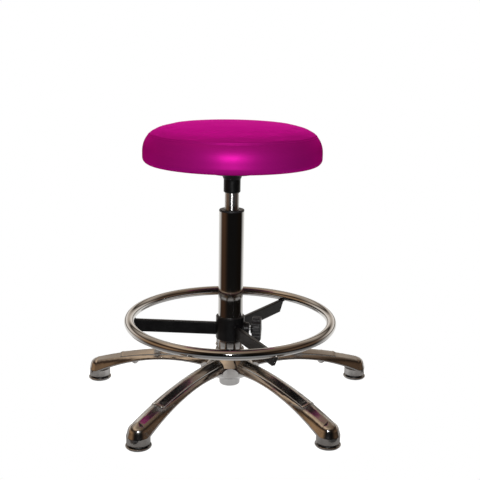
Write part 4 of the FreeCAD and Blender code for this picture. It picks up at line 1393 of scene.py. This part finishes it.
# Colours all round the stool, from straight down at 0 to straight up at 1.
FLOOR_AND_CEILING: Scale = ((0.0, (0.62, 0.62, 0.62)), (1.0, (0.22, 0.165, 0.12)))
SURROUNDINGS: dict[str, Scale] = {
    "front": (
        (0.22, (0.30, 0.31, 0.33)),
        (0.285, (0.012, 0.011, 0.010)),
        (0.5, (0.004, 0.004, 0.004)),
        (0.78, (0.010, 0.008, 0.006)),
        (0.88, (0.04, 0.025, 0.016)),
        (0.92, (0.80, 0.70, 0.58)),
        (0.96, (0.05, 0.031, 0.020)),
    ),
    "left": (
        (0.30, (0.03, 0.016, 0.010)),
        (0.42, (0.10, 0.052, 0.029)),
        (0.53, (0.42, 0.26, 0.14)),
        (0.64, (0.30, 0.185, 0.105)),
        (0.72, (0.05, 0.030, 0.018)),
        (0.82, (0.06, 0.037, 0.024)),
        (0.92, (0.85, 0.64, 0.45)),
    ),
    "right": (
        (0.30, (0.006, 0.005, 0.004)),
        (0.42, (0.010, 0.007, 0.005)),
        (0.54, (0.15, 0.092, 0.056)),
        (0.66, (0.10, 0.060, 0.036)),
        (0.78, (0.016, 0.011, 0.008)),
        (0.92, (0.20, 0.135, 0.09)),
    ),
    "back": (
        (0.37, (0.95, 0.93, 0.90)),
        (0.45, (0.78, 0.76, 0.72)),
        (0.48, (0.05, 0.035, 0.025)),
        (0.51, (0.10, 0.066, 0.042)),
        (0.545, (0.92, 0.86, 0.79)),
        (0.60, (0.90, 0.84, 0.77)),
        (0.65, (0.66, 0.58, 0.50)),
        (0.70, (0.03, 0.022, 0.016)),
        (0.80, (0.62, 0.53, 0.44)),
    ),
}


class Outlook(Enum):
    """Ways to look out from the stool, as the axis that points that way."""

    AWAY = "Y"
    RIGHT = "X"
    UP = "Z"


@dataclass(frozen=True)
class Lamp:
    """A square area light: its place, what it points at, its power and side, and if metal mirrors it."""

    name: str
    at: Point
    aim: Point
    watts: float
    size: float
    mirrored: bool = False

    def build(self) -> None:
        """Puts the light in the scene."""
        data = bpy.data.lights.new(self.name, "AREA")
        data.energy = self.watts
        data.size = self.size
        lamp = bpy.data.objects.new(self.name, data)
        bpy.context.scene.collection.objects.link(lamp)
        at = Vector(self.at)
        turn = (Vector(self.aim) - at).to_track_quat("-Z", "Y").to_matrix().to_4x4()
        lamp.matrix_world = Matrix.Translation(at) @ turn
        lamp.visible_glossy = self.mirrored


SEAT_MIDDLE = (0.0, 0.0, 0.5)
LAMPS = (
    Lamp("flash", (-0.06303, -1.6298, 0.804), (0.0, 0.0, 0.3), 13.0, 0.06, mirrored=True),
    Lamp("overhead", (0.0, 1.25, 1.65), SEAT_MIDDLE, 54.0, 1.2),
    Lamp("fill", (-0.06303, -1.6498, 1.014), SEAT_MIDDLE, 6.5, 0.9),
)


@dataclass
class Studio:
    """Floor, light all round, lamps and camera."""

    camera_at: Point = (-0.06303, -1.6498, 0.714)
    yaw: float = math.radians(2.786)
    pitch: float = math.radians(13.126)
    roll: float = math.radians(0.908)
    lens: float = 63.63
    sensor: float = 36.0
    clip: Span = (0.05, 50.0)
    floor_radius: float = 0.345
    floor_sides: int = 96
    floor_sink: float = 0.0004
    floor_grey: float = 0.2
    floor_rough: float = 0.9
    floor_gloss: float = 0.1
    floor_glow: Span = (0.42, 0.05)
    floor_fade: Span = (0.20, 0.29)
    floor_white: float = 0.95
    left_to_right: Span = (-0.45, 0.45)
    front_to_sides: Span = (-0.9, -0.3)
    sides_to_back: Span = (0.1, 0.75)

    def build_camera(self) -> None:
        """The camera at the photograph's place."""
        level = math.cos(self.pitch)
        ahead = Vector((math.sin(self.yaw) * level, math.cos(self.yaw) * level, -math.sin(self.pitch)))
        right = Vector((math.cos(self.yaw), -math.sin(self.yaw), 0.0))
        above = right.cross(ahead)
        turned_right = right * math.cos(self.roll) + above * math.sin(self.roll)
        turned_up = above * math.cos(self.roll) - right * math.sin(self.roll)
        data = bpy.data.cameras.new("camera")
        data.lens = self.lens
        data.sensor_width = self.sensor
        data.clip_start, data.clip_end = self.clip
        camera = bpy.data.objects.new("camera", data)
        bpy.context.scene.collection.objects.link(camera)
        turn = Matrix((turned_right, turned_up, -ahead)).transposed().to_4x4()
        camera.matrix_world = Matrix.Translation(self.camera_at) @ turn
        bpy.context.scene.camera = camera

    def build_floor(self) -> None:
        """A plain pale floor, white to the camera; to other rays it glows, a painted pool of light fading
        outwards.
        """
        Bench.clear()
        under = (0.0, 0.0, -self.floor_sink)
        bpy.ops.mesh.primitive_circle_add(
            vertices=self.floor_sides, radius=self.floor_radius, fill_type="NGON", location=under
        )
        floor = bpy.context.object
        floor.name = "floor"
        paint = bpy.data.materials.new("floor_paint")
        paint.use_nodes = True
        graph = NodeGraph(paint.node_tree)
        out = graph.add("ShaderNodeVectorMath", {0: graph.place()}, operation="LENGTH").outputs["Value"]
        # Painted pool of light: the floor glows brightest in the middle and fades outwards, lighting the
        # stool from below and showing in the metal.
        mirrored = graph.spread(out, self.floor_glow, over=self.floor_fade)
        seen = graph.add("ShaderNodeLightPath").outputs["Is Camera Ray"]
        inputs = {
            "Base Color": (*toned(WHITE, self.floor_grey), 1.0),
            "Roughness": self.floor_rough,
            "Specular IOR Level": self.floor_gloss,
            "Emission Color": (*WHITE, 1.0),
            "Emission Strength": graph.sum(
                mirrored, graph.sum(seen, self.floor_white, "MULTIPLY"), "MAXIMUM"
            ),
        }
        graph.feed(paint.node_tree.nodes["Principled BSDF"], inputs)
        floor.data.materials.append(paint)

    def build_world(self) -> None:
        """Light all round: pale behind, warm above, brown to the left and dark in front."""
        world = bpy.data.worlds.new("studio")
        world.use_nodes = True
        bpy.context.scene.world = world
        graph = NodeGraph(world.node_tree)
        graph.tree.nodes.clear()
        way = graph.add("ShaderNodeTexCoord").outputs["Generated"]
        parts = graph.add("ShaderNodeSeparateXYZ", {"Vector": way})
        axes = {look: parts.outputs[look.value] for look in Outlook}
        lift = graph.spread(axes[Outlook.UP], over=(-1.0, 1.0))
        ends = FLOOR_AND_CEILING
        sides = {name: graph.ramp(lift, ends + stops) for name, stops in SURROUNDINGS.items()}
        across = graph.spread(axes[Outlook.RIGHT], over=self.left_to_right, soft=True)
        beside = graph.blend(across, sides["left"], sides["right"])
        ahead = graph.spread(axes[Outlook.AWAY], over=self.front_to_sides, soft=True)
        behind = graph.spread(axes[Outlook.AWAY], over=self.sides_to_back, soft=True)
        colour = graph.blend(behind, graph.blend(ahead, sides["front"], beside), sides["back"])
        seen = graph.add("ShaderNodeLightPath").outputs["Is Camera Ray"]
        shown = graph.blend(seen, colour, WHITE)
        background = graph.add("ShaderNodeBackground", {"Color": shown, "Strength": 1.0})
        graph.add("ShaderNodeOutputWorld", {"Surface": background.outputs["Background"]})

    def build(self) -> None:
        """Sets up everything that isn't part of the stool."""
        bpy.context.scene.view_settings.view_transform = "Standard"
        self.build_camera()
        self.build_floor()
        self.build_world()
        for lamp in LAMPS:
            lamp.build()
        LOG.info("studio: camera, floor, world and %d lights", len(LAMPS))


def main() -> None:
    """Builds the stool's looks in order."""
    logging.basicConfig(level=logging.INFO, format="%(name)s: %(message)s")
    Bench.clear()
    wardrobe = Wardrobe(FINISHES)
    LOG.info("frame: %d nodes dressed", wardrobe.dress_frame())
    SeatCushion().build(wardrobe)
    LiningUnderSeat().build(wardrobe)
    TreadStrips().build(wardrobe)
    RingWelds().build(wardrobe)
    Studio().build()


if __name__ == "__main__":
    main()
